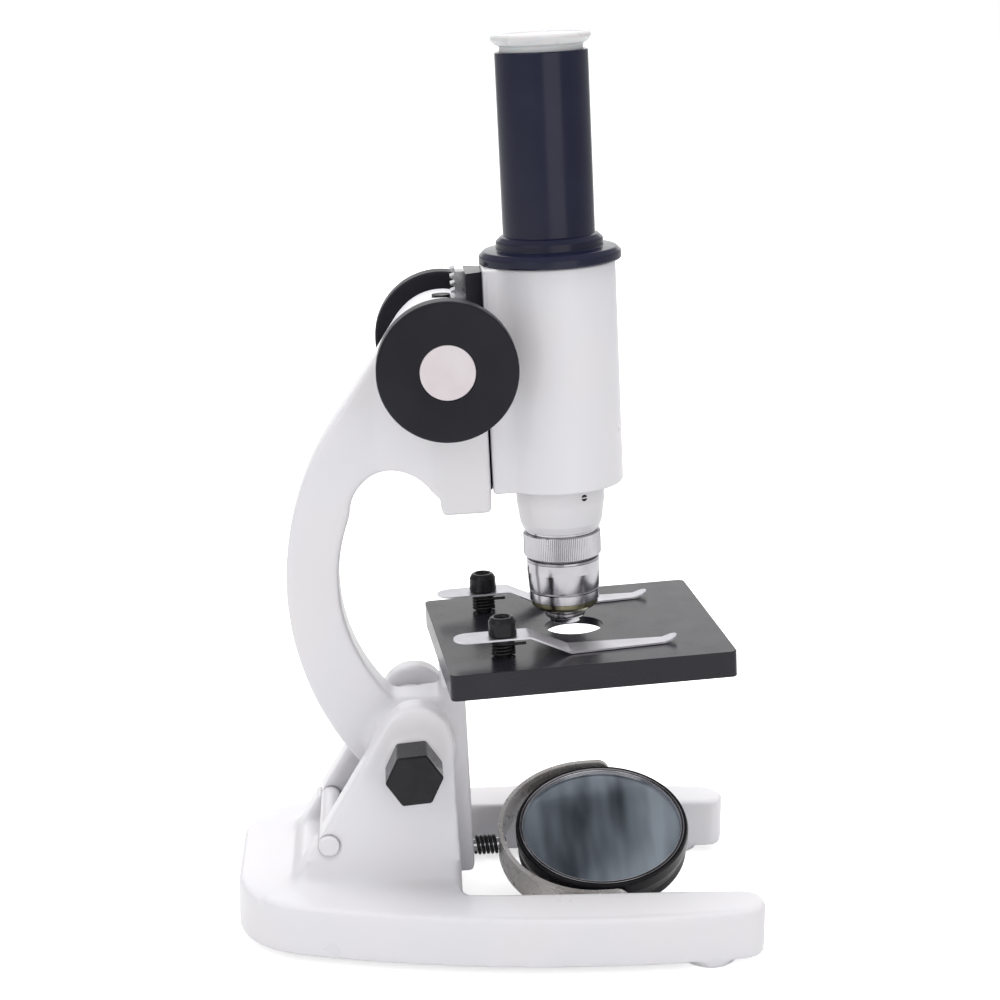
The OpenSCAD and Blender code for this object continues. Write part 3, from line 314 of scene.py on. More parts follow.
class FinishKit:
    """Builds the shared node groups once, and one material for each finish in each place."""

    COAT_ROUGHNESS = 0.12
    SUBSURFACE_DEPTH = 1.5 * MM
    SMUDGE_SHARE = 0.4
    LINE_LENGTH = 60

    def __init__(self) -> None:
        """Build the groups that the materials share."""
        self.made: dict[tuple[str, str], bpy.types.Material] = {}
        self.tone = self._tone_group()
        self.smudge = self._smudge_group()
        self.grain = self._relief_group("skin_grain", "Scale", FLOAT, 3)
        self.marks = self._relief_group("tool_marks", "Stretch", VECTOR, 2)

    @staticmethod
    def _group(name: str, inputs: dict[str, str], output: str, kind: str) -> bpy.types.NodeTree:
        """Start a shader node group with one output.

        Args:
            name: Name of the group.
            inputs: Kind of each input socket by its name.
            output: Name of the output socket.
            kind: Its kind.

        Returns:
            The group, with its input and output nodes in place.
        """
        group = bpy.data.node_groups.new(name, "ShaderNodeTree")
        for label, socket in inputs.items():
            group.interface.new_socket(name=label, in_out="INPUT", socket_type=socket)
        group.interface.new_socket(name=output, in_out="OUTPUT", socket_type=kind)
        group.nodes.new("NodeGroupInput").name = "in"
        group.nodes.new("NodeGroupOutput").name = "out"
        return group

    def _tone_group(self) -> bpy.types.NodeTree:
        """Make the clouds of a second tone over a base colour.

        Returns:
            The group.
        """
        group = self._group("tone_clouds", {"Vector": VECTOR, "Stretch": VECTOR, "Scale": FLOAT,
                                            "Base": COLOR, "Drift": COLOR}, "Color", COLOR)
        source = group.nodes["in"].outputs
        squeeze = add_node(group, "VectorMath", {0: source["Vector"], 1: source["Stretch"]},
                           operation="MULTIPLY")
        noise = add_node(group, "TexNoise", {"Vector": squeeze.outputs["Vector"], "Scale": source["Scale"],
                                             "Detail": 2, "Roughness": 0.45})
        spread = add_node(group, "MapRange", {"Value": noise.outputs["Fac"], "From Min": 0.3,
                                              "From Max": 0.7})
        mix = add_node(group, "Mix", {"Factor": spread.outputs["Result"], "A": source["Base"],
                                      "B": source["Drift"]}, data_type="RGBA")
        feed(group, group.nodes["out"], {"Color": mix.outputs["Result"]})
        return group

    def _smudge_group(self) -> bpy.types.NodeTree:
        """Make the handling marks: roughness between a low and a high value.

        Returns:
            The group.
        """
        group = self._group("handling_smudge", {"Vector": VECTOR, "Scale": FLOAT, "Low": FLOAT,
                                                "High": FLOAT}, "Roughness", FLOAT)
        source = group.nodes["in"].outputs
        noise = add_node(group, "TexNoise", {"Vector": source["Vector"], "Scale": source["Scale"],
                                             "Detail": 3, "Roughness": 0.5})
        spread = add_node(group, "MapRange", {"Value": noise.outputs["Fac"], "From Min": 0.25,
                                              "From Max": 0.75, "To Min": source["Low"],
                                              "To Max": source["High"]})
        feed(group, group.nodes["out"], {"Roughness": spread.outputs["Result"]})
        return group

    def _relief_group(self, name: str, sizing: str, kind: str, detail: float) -> bpy.types.NodeTree:
        """Make small bumps, even in all directions or squeezed into fine parallel lines.

        Args:
            name: Name of the group.
            sizing: Name of the input that sizes the pattern.
            kind: Its kind: a number for even bumps, a vector for squeezed ones.
            detail: Detail of the noise.

        Returns:
            The group.
        """
        group = self._group(name, {"Vector": VECTOR, sizing: kind, "Depth": FLOAT}, "Height", FLOAT)
        source = group.nodes["in"].outputs
        vector = source["Vector"]
        scale = source[sizing]
        if kind == VECTOR:
            squeeze = add_node(group, "VectorMath", {0: vector, 1: scale}, operation="MULTIPLY")
            vector = squeeze.outputs["Vector"]
            scale = 1.0
        noise = add_node(group, "TexNoise", {"Vector": vector, "Scale": scale, "Detail": detail,
                                             "Roughness": 0.5})
        scaled = add_node(group, "Math", {0: noise.outputs["Fac"], 1: source["Depth"]},
                          operation="MULTIPLY")
        feed(group, group.nodes["out"], {"Height": scaled.outputs["Value"]})
        return group

    def material(self, finish: Finish, place: Place) -> bpy.types.Material:
        """Give the material of a finish, with its pattern lined up with a place.

        Args:
            finish: The finish.
            place: Whose axes the tool marks follow.

        Returns:
            The material, built on first use.
        """
        key = (finish.name, place.name)
        if key not in self.made:
            self.made[key] = self._build(finish, place)
        return self.made[key]

    def _build(self, finish: Finish, place: Place) -> bpy.types.Material:
        """Build one material.

        Args:
            finish: The finish.
            place: Whose axes the pattern follows.

        Returns:
            The new material.
        """
        material = bpy.data.materials.new(f"{finish.name}_{place.name}")
        material.use_nodes = True
        tree = material.node_tree
        inverse = place.matrix.inverted()
        coordinates = add_node(tree, "TexCoord", {})
        mapping = add_node(tree, "Mapping", {"Vector": coordinates.outputs["Object"],
                                             "Location": inverse.translation,
                                             "Rotation": inverse.to_euler()})
        vector = mapping.outputs["Vector"]
        cloud = finish.cloud_size * MM
        tone = add_node(tree, "Group", {"Vector": vector, "Stretch": finish.stretch, "Scale": 1 / cloud,
                                        "Base": (*finish.base, 1), "Drift": (*finish.drift, 1)},
                        node_tree=self.tone)
        smudge = add_node(tree, "Group", {"Vector": vector, "Scale": 1 / (cloud * self.SMUDGE_SHARE),
                                          "Low": finish.rough[0], "High": finish.rough[1]},
                          node_tree=self.smudge)
        inputs = {"Base Color": tone.outputs["Color"], "Roughness": smudge.outputs["Roughness"],
                  "Metallic": finish.metallic, "IOR": finish.ior, "Coat Weight": finish.coat,
                  "Coat Roughness": self.COAT_ROUGHNESS, "Transmission Weight": finish.transmission,
                  "Subsurface Weight": finish.subsurface, "Subsurface Scale": self.SUBSURFACE_DEPTH}
        if finish.grain_depth:
            bump = add_node(tree, "Bump", {"Strength": 1.0, "Distance": MM,
                                           "Height": self._height(tree, finish, vector)})
            inputs["Normal"] = bump.outputs["Normal"]
        feed(tree, tree.nodes["Principled BSDF"], inputs)
        return material

    def _height(self, tree: bpy.types.NodeTree, finish: Finish,
                vector: bpy.types.NodeSocket) -> bpy.types.NodeSocket:
        """Join the grain and the tool marks into one height, in millimetres.

        Args:
            tree: The material's node tree.
            finish: The finish.
            vector: The pattern's coordinates.

        Returns:
            The height socket.
        """
        grain = add_node(tree, "Group", {"Vector": vector, "Scale": 1 / (finish.grain_size * MM),
                                         "Depth": finish.grain_depth}, node_tree=self.grain)
        if finish.lines is Lines.NONE:
            return grain.outputs["Height"]
        fine = 1 / (finish.line_gap * MM)
        coarse = fine / self.LINE_LENGTH
        stretch = (coarse, coarse, fine) if finish.lines is Lines.TURNED else (coarse, fine, coarse)
        marks = add_node(tree, "Group", {"Vector": vector, "Stretch": stretch, "Depth": finish.line_depth},
                         node_tree=self.marks)
        total = add_node(tree, "Math", {0: grain.outputs["Height"], 1: marks.outputs["Height"]},
                         operation="ADD")
        return total.outputs["Value"]


# ---------------------------------------------------------------- shapes


def arc(centre: tuple[float, float], radius: float, start: float, end: float, count: int) -> list[Vector]:
    """Points on an arc.

    Args:
        centre: Centre of the arc.
        radius: Its radius.
        start: First angle, in degrees.
        end: Last angle, in degrees.
        count: Number of steps.

    Returns:
        count + 1 points.
    """
    angles = [math.radians(start + (end - start) * i / count) for i in range(count + 1)]
    return [Vector((centre[0] + radius * math.cos(a), centre[1] + radius * math.sin(a))) for a in angles]


def rounded(corners: list[Triple], closed: bool = False, steps: int = 4) -> list[Vector]:
    """A line through corners, each rounded by its own radius.

    Args:
        corners: Two coordinates and the rounding radius of each corner.
        closed: Whether the last corner joins the first.
        steps: Steps in each rounding.

    Returns:
        The points of the rounded line.
    """
    points: list[Vector] = []
    count = len(corners)
    for i, (x, y, radius) in enumerate(corners):
        here = Vector((x, y))
        ends = not closed and i in (0, count - 1)
        if radius <= 0 or ends:
            points.append(here)
            continue
        before = Vector(corners[i - 1][:2]) - here
        after = Vector(corners[(i + 1) % count][:2]) - here
        angle = before.angle(after)
        reach = min(radius / math.tan(angle / 2), EDGE_SHARE * before.length, EDGE_SHARE * after.length)
        a = here + before.normalized() * reach
        b = here + after.normalized() * reach
        for k in range(steps + 1):
            t = k / steps
            points.append(a * (1 - t) ** 2 + here * 2 * t * (1 - t) + b * t ** 2)
    return points


def only(geom: list, kind: type) -> list:
    """Pick the elements of one kind out of mixed geometry."""
    return [g for g in geom if isinstance(g, kind)]


def quarter(axis: str, sign: int = 1) -> Matrix:
    """Give a quarter turn about an axis."""
    return Matrix.Rotation(sign * math.pi / 2, 4, axis)


def set_down(name: str, data: bpy.types.ID) -> bpy.types.Object:
    """Put new data into the scene as an object at the origin.

    Args:
        name: Name of the object.
        data: Its mesh, light or camera.

    Returns:
        The object.
    """
    obj = bpy.data.objects.new(name, data)
    bpy.context.scene.collection.objects.link(obj)
    return obj


class Shape:
    """A mesh under construction, in millimetres, in the axes of one place."""

    def __init__(self) -> None:
        """Start empty."""
        self.bm = bmesh.new()

    def _wire(self, points: list[Vector], closed: bool) -> list:
        """Join points of the XZ plane by edges.

        Args:
            points: Two coordinates each, taken as X and Z.
            closed: Whether the last joins the first.

        Returns:
            The new vertices and edges.
        """
        verts = [self.bm.verts.new((p[0], 0, p[1])) for p in points]
        pairs = list(zip(verts, verts[1:])) + ([(verts[-1], verts[0])] if closed else [])
        return verts + [self.bm.edges.new(pair) for pair in pairs]

    def mesh(self, name: str) -> bpy.types.Mesh:
        """Write the shape out as a mesh and let go of it.

        Args:
            name: Name of the mesh.

        Returns:
            The mesh.
        """
        mesh = bpy.data.meshes.new(name)
        self.bm.to_mesh(mesh)
        self.bm.free()
        return mesh

    def lathe(self, corners: list[Triple], steps: int = 96, closed: bool = True) -> "Shape":
        """Turn a profile with rounded corners about the Z axis.

        Args:
            corners: Radius, height and rounding of each corner.
            steps: Steps round the axis.
            closed: Whether the profile is a ring's own section.

        Returns:
            This shape.
        """
        return self.spin(rounded(corners, closed), steps, closed)

    def spin(self, profile: list[Vector], steps: int, closed: bool) -> "Shape":
        """Turn a profile of radius and height about the Z axis.

        Args:
            profile: Points of the profile.
            steps: Steps round the axis.
            closed: Whether the profile is a ring's own section.

        Returns:
            This shape.
        """
        geom = self._wire(profile, closed)
        bmesh.ops.spin(self.bm, geom=geom, cent=(0, 0, 0), axis=(0, 0, 1), angle=math.tau, steps=steps,
                       use_merge=True, use_duplicate=False)
        bmesh.ops.remove_doubles(self.bm, verts=self.bm.verts, dist=SEAM)
        return self.outward()

    def coil(self, radius: float, wire: float, turns: float, length: float, steps: int = 32,
             tail: float = 0) -> "Shape":
        """Sweep a round wire along a helix about Z that starts at the origin's height.

        Args:
            radius: Radius of the helix.
            wire: Diameter of the wire.
            turns: Number of turns.
            length: Height between the first and last turn's middle.
            steps: Steps in each turn.
            tail: Straight length of wire that leaves the last turn.

        Returns:
            This shape.
        """
        start = Matrix.Translation((radius, 0, 0)) @ quarter("X")
        made = bmesh.ops.create_circle(self.bm, cap_ends=True, segments=WIRE_SIDES, radius=wire / 2,
                                       matrix=start)
        count = round(turns * steps)
        geom = made["verts"] + list({e for v in made["verts"] for e in v.link_edges})
        geom += list({f for v in made["verts"] for f in v.link_faces})
        swept = bmesh.ops.spin(self.bm, geom=geom, cent=(0, 0, 0), axis=(0, 0, 1), angle=math.tau * turns,
                               dvec=(0, 0, length / count), steps=count, use_merge=False,
                               use_duplicate=False)
        if tail:
            last = only(swept["geom_last"], bmesh.types.BMFace)
            grown = bmesh.ops.extrude_face_region(self.bm, geom=last)["geom"]
            ahead = Matrix.Rotation(math.tau * turns, 4, "Z") @ Vector((0, tail, 0))
            bmesh.ops.translate(self.bm, verts=only(grown, bmesh.types.BMVert), vec=ahead)
            bmesh.ops.delete(self.bm, geom=last, context="FACES_ONLY")
        return self.outward()

    def strip(self, path: list[Vector], half_width: Callable[[float], float], thick: float) -> "Shape":
        """Bend a flat strip along a path of the XZ plane.

        Args:
            path: Points along the strip's underside.
            half_width: Gives half the width from the X coordinate.
            thick: Thickness, laid on the path's left.

        Returns:
            This shape.
        """
        edges = only(self._wire(path, False), bmesh.types.BMEdge)
        grown = bmesh.ops.extrude_edge_only(self.bm, edges=edges)["geom"]
        fresh = set(only(grown, bmesh.types.BMVert))
        for v in self.bm.verts:
            v.co.y = half_width(v.co.x) * (1 if v in fresh else -1)
        self.outward()
        up = sum(f.normal.z for f in self.bm.faces)
        bmesh.ops.solidify(self.bm, geom=self.bm.faces[:], thickness=-thick if up > 0 else thick)
        return self.outward()

    def round_edges(self, width: float, segments: int = 3, angle: float = 35) -> "Shape":
        """Round every edge that is sharper than an angle.

        Args:
            width: Width of the rounding.
            segments: Its steps.
            angle: Least angle between faces, in degrees.

        Returns:
            This shape.
        """
        limit = math.radians(angle)
        edges = [e for e in self.bm.edges if len(e.link_faces) == 2 and e.calc_face_angle(0) > limit]
        return self.bevel(edges, width, segments, clamp=True)

    def bevel(self, edges: list, width: float, segments: int, clamp: bool = False) -> "Shape":
        """Round some edges.

        Args:
            edges: The edges.
            width: Width of the rounding.
            segments: Its steps.
            clamp: Whether the roundings stop short of each other.

        Returns:
            This shape.
        """
        bmesh.ops.bevel(self.bm, geom=edges, offset=width, affect="EDGES", segments=segments, profile=0.5,
                        material=-1, clamp_overlap=clamp)
        return self

    def turned(self, matrix: Matrix) -> "Shape":
        """Move or turn what has been drawn so far.

        Args:
            matrix: The move, in the shape's millimetres.

        Returns:
            This shape.
        """
        bmesh.ops.transform(self.bm, matrix=matrix, verts=self.bm.verts)
        return self.outward() if matrix.determinant() < 0 else self

    def outward(self) -> "Shape":
        """Point every face outwards.

        Returns:
            This shape.
        """
        bmesh.ops.recalc_face_normals(self.bm, faces=self.bm.faces)
        return self

    def join(self, other: "Shape") -> "Shape":
        """Add another shape's mesh to this one, and empty the other.

        Args:
            other: The shape to take in.

        Returns:
            This shape.
        """
        mesh = other.mesh("joining")
        self.bm.from_mesh(mesh)
        bpy.data.meshes.remove(mesh)
        return self


class Workshop:
    """Turns shapes and nodes into finished pieces that ride on their bodies."""

    def __init__(self, frame: dict, kit: FinishKit) -> None:
        """Keep the frame and the finishes.

        Args:
            kit: The finishes.
        """
        self.frame = frame
        self.kit = kit
        self.count = 0

    def body_of(self, node: str) -> str:
        """Find the body that a node belongs to.

        Args:
            node: The node.

        Returns:
            Name of the body.
        """
        bodies = self.frame["record"]["behaviour"]["bodies"]
        return next(body for body, members in bodies.items() if node in members)

    def piece(self, name: str, shape: Shape, place: Place, finish: Finish, node: str,
              replaces: bool = True, sharp: float = 35) -> bpy.types.Object:
        """Set a shape down as a piece of the instrument.

        Args:
            name: Name of the piece.
            shape: Its mesh, in the place's millimetres.
            place: Where it was drawn.
            finish: Its finish.
            node: The node that it stands for, or that it belongs with.
            replaces: Whether it hides that node.
            sharp: Edges with a larger angle than this stay crisp.

        Returns:
            The new object.
        """
        bm = shape.bm
        bmesh.ops.transform(bm, matrix=place.matrix @ Matrix.Scale(MM, 4), verts=bm.verts)
        limit = math.radians(sharp)
        for edge in bm.edges:
            edge.smooth = len(edge.link_faces) == 2 and edge.calc_face_angle(0) < limit
        for face in bm.faces:
            face.smooth = True
        mesh = shape.mesh(name)
        obj = set_down(name, mesh)
        mesh.materials.append(self.kit.material(finish, place))
        level = obj.modifiers.new("flats", "WEIGHTED_NORMAL")
        level.keep_sharp = True
        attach(obj, self.body_of(node))
        if replaces:
            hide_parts(node)
        self.count += 1
        LOG.info("%s: %d faces, rides on %s", name, len(mesh.polygons), self.body_of(node))
        return obj

    def dress(self, node: str, place: Place, finish: Finish) -> None:
        """Give a node of the frame its finish and leave its mesh as it is.

        Args:
            node: The node.
            place: Whose axes the pattern follows.
            finish: The finish.
        """
        obj = self.frame["nodes"][node]
        obj.data.materials.clear()
        obj.data.materials.append(self.kit.material(finish, place))
        LOG.info("%s: dressed in %s", node, finish.name)

    def copy_of(self, node: str, place: Place) -> Shape:
        """Copy a node's mesh, merged, into a shape in a place's millimetres.

        Args:
            node: The node.
            place: The place.

        Returns:
            The shape.
        """
        shape = Shape()
        shape.bm.from_mesh(self.frame["nodes"][node].data)
        matrix = Matrix.Scale(1 / MM, 4) @ place.matrix.inverted()
        bmesh.ops.transform(shape.bm, matrix=matrix, verts=shape.bm.verts)
        bmesh.ops.remove_doubles(shape.bm, verts=shape.bm.verts, dist=WELD)
        return shape

    def ease(self, name: str, node: str, place: Place, finish: Finish, width: float,
             segments: int = 2) -> None:
        """Build a piece that is a node with joined flat faces and rounded edges.

        Args:
            name: Name of the piece.
            node: The node that it stands for.
            place: The place.
            finish: The finish.
            width: Width of the rounding.
            segments: Its steps.
        """
        shape = self.copy_of(node, place)
        bm = shape.bm
        bmesh.ops.dissolve_limit(bm, angle_limit=FLAT, use_dissolve_boundaries=False,
                                 verts=bm.verts, edges=bm.edges)
        shape.round_edges(width, segments)
        bmesh.ops.triangulate(bm, faces=[f for f in bm.faces if len(f.verts) > 4])
        self.piece(name, shape, place, finish, node)

    def recast(self, node: str, place: Place, grid: float, rounds: int) -> Shape:
        """Copy a node as a casting, with an even mesh and softened edges.

        Args:
            node: The node.
            place: The place.
            grid: Size of the mesh's cells.
            rounds: How often the surface is smoothed.

        Returns:
            The shape.
        """
        mesh = self.copy_of(node, place).mesh("casting")
        holder = set_down("casting", mesh)
        remesh = holder.modifiers.new("grid", "REMESH")
        remesh.mode = "VOXEL"
        remesh.voxel_size = grid
        remesh.adaptivity = 0
        view = bpy.context.evaluated_depsgraph_get()
        even = bpy.data.meshes.new_from_object(holder.evaluated_get(view))
        shape = Shape()
        shape.bm.from_mesh(even)
        bpy.data.objects.remove(holder)
        bpy.data.meshes.remove(mesh)
        bpy.data.meshes.remove(even)
        self.soften(shape, rounds)
        return shape

    @staticmethod
    def soften(shape: Shape, rounds: int, chosen: Callable[[Vector], bool] | None = None) -> None:
        """Smooth a shape, or part of it.

        Args:
            shape: The shape.
            rounds: How often.
            chosen: Picks the points by their place; all of them if left out.
        """
        verts = [v for v in shape.bm.verts if chosen is None or chosen(v.co)]
        for _ in range(rounds):
            bmesh.ops.smooth_vert(shape.bm, verts=verts, factor=0.5, use_axis_x=True, use_axis_y=True,
                                  use_axis_z=True)


# ---------------------------------------------------------------- sub-assemblies


@dataclass
class Assembly:
    """A group of pieces that belong together. Lengths are in millimetres."""

    shop: Workshop
    places: Places

    def build(self) -> None:
        """Build every piece of the group."""
        raise NotImplementedError


@dataclass
class FootAssembly(Assembly):
    """Cast horseshoe foot with its stop pin, inclination bolt and clamp knobs."""

    grid: float = 0.85
    rounds: int = 5
    fillet_rounds: int = 40
    fillet_height: float = 7.0
    cheek_share: float = 0.62
    deck_beside: float = 9.0
    heel_clear: float = 6.0
    toe_length: float = 10.0
    pin_round: float = 0.7
    knob_round: float = 0.6
    knob_rim: float = 0.8
    knob_turn: float = 36.0

    def build(self) -> None:
        """Build every piece of the foot."""
        self.casting()
        self.stop_pin()
        for side, sign in SIDES.items():
            self.clamp_knob(side, sign)
        self.shop.dress("inclination_bolt", self.places.world, ZINC)

    def casting(self) -> None:
        """The foot, with soft edges and a wide fillet where each cheek rises from it."""
        world = self.places.world
        foot = self.shop.recast("foot", world, self.grid, self.rounds)
        box = world.span("foot")
        pin = world.span("stop_pin")
        deck = self.deck_height()
        front = world.span("limb").hi.x

        def at_cheek(co: Vector) -> bool:
            """Tell whether a point lies where a cheek's outside meets the deck.

            Args:
                co: The point.

            Returns:
                Whether it does.
            """
            beside = pin.hi.y * self.cheek_share < abs(co.y) < pin.hi.y + self.deck_beside
            along = box.lo.x + self.heel_clear < co.x < front
            return beside and along and abs(co.z - deck) < self.fillet_height

        self.shop.soften(foot, self.fillet_rounds, at_cheek)
        self.shop.piece("foot_casting", foot, world, WHITE_ENAMEL, "foot", sharp=180)

    def deck_height(self) -> float:
        """Measure the deck by the highest point of the foot out at the toes.

        Returns:
            Height of the deck.
        """
        box = self.places.world.span("foot")
        mesh = self.shop.frame["nodes"]["foot"].data
        return max(v.co.z for v in mesh.vertices
                   if v.co.x / MM > box.hi.x - self.toe_length) / MM

    def stop_pin(self) -> None:
        """The painted pin across the cheeks, with slightly crowned ends."""
        world = self.places.world
        box = world.span("stop_pin")
        r = box.size.z / 2
        half = box.size.y / 2
        soft = self.pin_round
        corners = [(0, -half, 0), (r, -half, soft), (r, half, soft), (0, half, 0)]
        pin = Shape().lathe(corners, 48, closed=False)
        pin.turned(Matrix.Translation(box.mid) @ quarter("X"))
        self.shop.piece("stop_pin_painted", pin, world, WHITE_ENAMEL, "stop_pin")

    def clamp_knob(self, side: str, sign: int) -> None:
        """A six-sided knob with softened corners and a bevelled face.

        Args:
            side: near or far.
            sign: Direction of the knob along Y.
        """
        world = self.places.world
        node = f"clamp_knob_{side}"
        box = world.span(node)
        length = box.size.y
        corner = box.size.x / 2
        knob = Shape()
        bmesh.ops.create_circle(knob.bm, cap_ends=True, segments=6, radius=corner)
        grown = bmesh.ops.extrude_face_region(knob.bm, geom=knob.bm.faces[:], use_keep_orig=True)["geom"]
        bmesh.ops.translate(knob.bm, verts=only(grown, bmesh.types.BMVert), vec=(0, 0, length))
        knob.outward()
        upright = [e for e in knob.bm.edges if abs(e.verts[0].co.z - e.verts[1].co.z) > 1]
        knob.bevel(upright, self.knob_round, 4)
        rim = [e for e in knob.bm.edges if all(v.co.z > length - 0.01 for v in e.verts)]
        knob.bevel(rim, self.knob_rim, 4)
        base = box.lo.y if sign > 0 else box.hi.y
        turn = quarter("X", -sign) @ Matrix.Rotation(math.radians(self.knob_turn), 4, "Z")
        knob.turned(Matrix.Translation((box.mid.x, base, box.mid.z)) @ turn)
        self.shop.piece(f"clamp_knob_{side}_moulded", knob, world, GLOSS_BLACK, node, sharp=20)


@dataclass
class LimbAssembly(Assembly):
    """Curved limb with its focusing head, washers, tension screw and bushes."""

    grid: float = 0.7
    rounds: int = 16

    def build(self) -> None:
        """Build every piece of the limb."""
        arm = self.places.arm
        limb = self.shop.recast("limb", arm, self.grid, self.rounds)
        self.shop.piece("limb_casting", limb, arm, WHITE_ENAMEL, "limb", sharp=180)
        self.shop.dress("friction_washers", arm, FIBRE)
        self.shop.ease("tension_screw_head", "tension_screw", arm, BLACKENED, 0.15)
        self.shop.dress("pinion_bushes", arm, BRASS)


@dataclass
class FocusDrive(Assembly):
    """Two focusing knobs on the pinion shaft, each with a pale disc in its face."""

    thickness: float = 8.0
    rim_round: float = 1.1
    hub_r: float = 7.0
    shaft_r: float = 2.6
    recess: float = 1.6

    def build(self) -> None:
        """Build the shaft, the knobs and their discs."""
        self.shop.dress("pinion_shaft", self.places.pinion, ZINC)
        for side, sign in SIDES.items():
            self.knob(side, sign)

    def knob(self, side: str, sign: int) -> None:
        """One knob and its disc.

        Args:
            side: near or far.
            sign: Direction of the knob along Y.
        """
        pinion = self.places.pinion
        box = pinion.span(f"focus_knob_{side}")
        disc = pinion.span(f"knob_disc_{side}")
        inner, outer = sorted((abs(box.lo.y), abs(box.hi.y)))
        r = box.size.x / 2
        disc_r = disc.size.x / 2
        disc_face = max(abs(disc.lo.y), abs(disc.hi.y))
        body_in = outer - self.thickness
        floor = outer - self.recess
        well_r = disc_r + 0.05
        knob = Shape().lathe([
            (self.shaft_r, inner, 0), (self.hub_r, inner, 0.4), (self.hub_r, body_in, 0.6),
            (r, body_in, 1.0), (r, outer, self.rim_round), (disc_r + 0.3, outer, 0.2),
            (well_r, outer - 0.4, 0.1), (well_r, floor, 0), (self.shaft_r, floor, 0)], 160)
        turn = quarter("X", -sign)
        knob.turned(turn)
        self.shop.piece(f"focus_knob_{side}_moulded", knob, pinion, CHARCOAL, f"focus_knob_{side}")
        seat = floor + 0.1
        plate = Shape().lathe([(0, seat, 0), (disc_r, seat, 0), (disc_r, disc_face, 0.25),
                               (0, disc_face, 0)], closed=False)
        plate.turned(turn)
        self.shop.piece(f"knob_disc_{side}_pressed", plate, pinion, PALE_DISC, f"knob_disc_{side}")


@dataclass
class BodyTube(Assembly):
    """White body tube with its slide, rack, nosepiece and grub screw."""

    wall: float = 2.8
    pad_round: float = 1.4
    pad_half: float = 13.5
    blend_r: float = 7.0
    edge_round: float = 0.8
    rim_angle: float = 1.2
    seat_bore: float = 10.2
    seat_depth: float = 6.9
    light_bore: float = 8.9
    spigot_in: float = 2.1

    def build(self) -> None:
        """Build every piece that moves with the tube below the eyepiece."""
        self.tube()
        axis = self.places.axis
        self.shop.ease("slide_bar_edged", "slide_bar", axis, BLACK_ENAMEL, 0.3)
        self.shop.dress("rack", axis, ZINC)
        self.shop.dress("slide_screws", axis, BLACKENED)
        self.nosepiece()
        self.shop.ease("nose_screw_slotted", "nose_screw", axis, BLACKENED, 0.1)

    def outline(self, radius: float, back: float, half: float) -> list[Vector]:
        """Section of the tube: a circle whose back runs into the slide pad by a soft hollow.

        Args:
            radius: Radius of the tube.
            back: X of the pad's back face.
            half: Half the pad's width.

        Returns:
            Points in order.
        """
        fillet = self.blend_r
        cy = half + fillet
        cx = -math.sqrt((radius + fillet) ** 2 - cy ** 2)
        meet = math.degrees(math.atan2(cy, cx))
        side = [Vector((back, 0)), Vector((back, half - self.pad_round))]
        side += arc((back + self.pad_round, half - self.pad_round), self.pad_round, 180, 90, 5)[1:]
        side += arc((cx, cy), fillet, 270, meet + 180, 8)
        side += arc((0, 0), radius, meet, 0, 40)[1:]
        other = [Vector((p.x, -p.y)) for p in reversed(side[1:-1])]
        return side + other

    def tube(self) -> None:
        """The tube casting, hollow, with its pad."""
        axis = self.places.axis
        box = axis.span("body_tube")
        radius = box.hi.y
        pad = axis.span("slide_bar")
        outline = self.outline(radius, pad.hi.x, self.pad_half)
        shape = Shape()
        loops = []
        for shrink, z in ((False, box.lo.z), (False, box.hi.z), (True, box.hi.z), (True, box.lo.z)):
            points = [p.normalized() * (radius - self.wall) for p in outline] if shrink else outline
            verts = [shape.bm.verts.new((p.x, p.y, z)) for p in points]
            loops.append([shape.bm.edges.new(pair) for pair in zip(verts, verts[1:] + verts[:1])])
        for a, b in zip(loops, loops[1:] + loops[:1]):
            bmesh.ops.bridge_loops(shape.bm, edges=a + b)
        shape.outward()
        rims = [e for e in shape.bm.edges if len({round(v.co.z, 3) for v in e.verts}) == 1
                and e.calc_face_angle(0) > self.rim_angle]
        shape.bevel(rims, self.edge_round, 3)
        self.shop.piece("body_tube_casting", shape, axis, WHITE_ENAMEL, "body_tube")

    def nosepiece(self) -> None:
        """The tapered nosepiece, hollow, with its seat for the objective."""
        axis = self.places.axis
        box = axis.span("nosepiece")
        tube = axis.span("body_tube")
        r = box.size.x / 2
        low = box.lo.z
        seat = tube.lo.z
        spigot = r - self.spigot_in
        shelf = low + self.seat_depth
        shape = Shape().lathe([
            (self.seat_bore, low, 0.1), (r - 1.9, low, 0.5), (r - 0.9, low + 2.4, 3.0), (r, low + 9, 6.0),
            (r, seat, 0), (spigot, seat, 0), (spigot, box.hi.z, 0.2), (self.light_bore, box.hi.z, 0.2),
            (self.light_bore, shelf, 0), (self.seat_bore, shelf, 0)], 128)
        self.shop.piece("nosepiece_turned", shape, axis, WHITE_ENAMEL, "nosepiece")


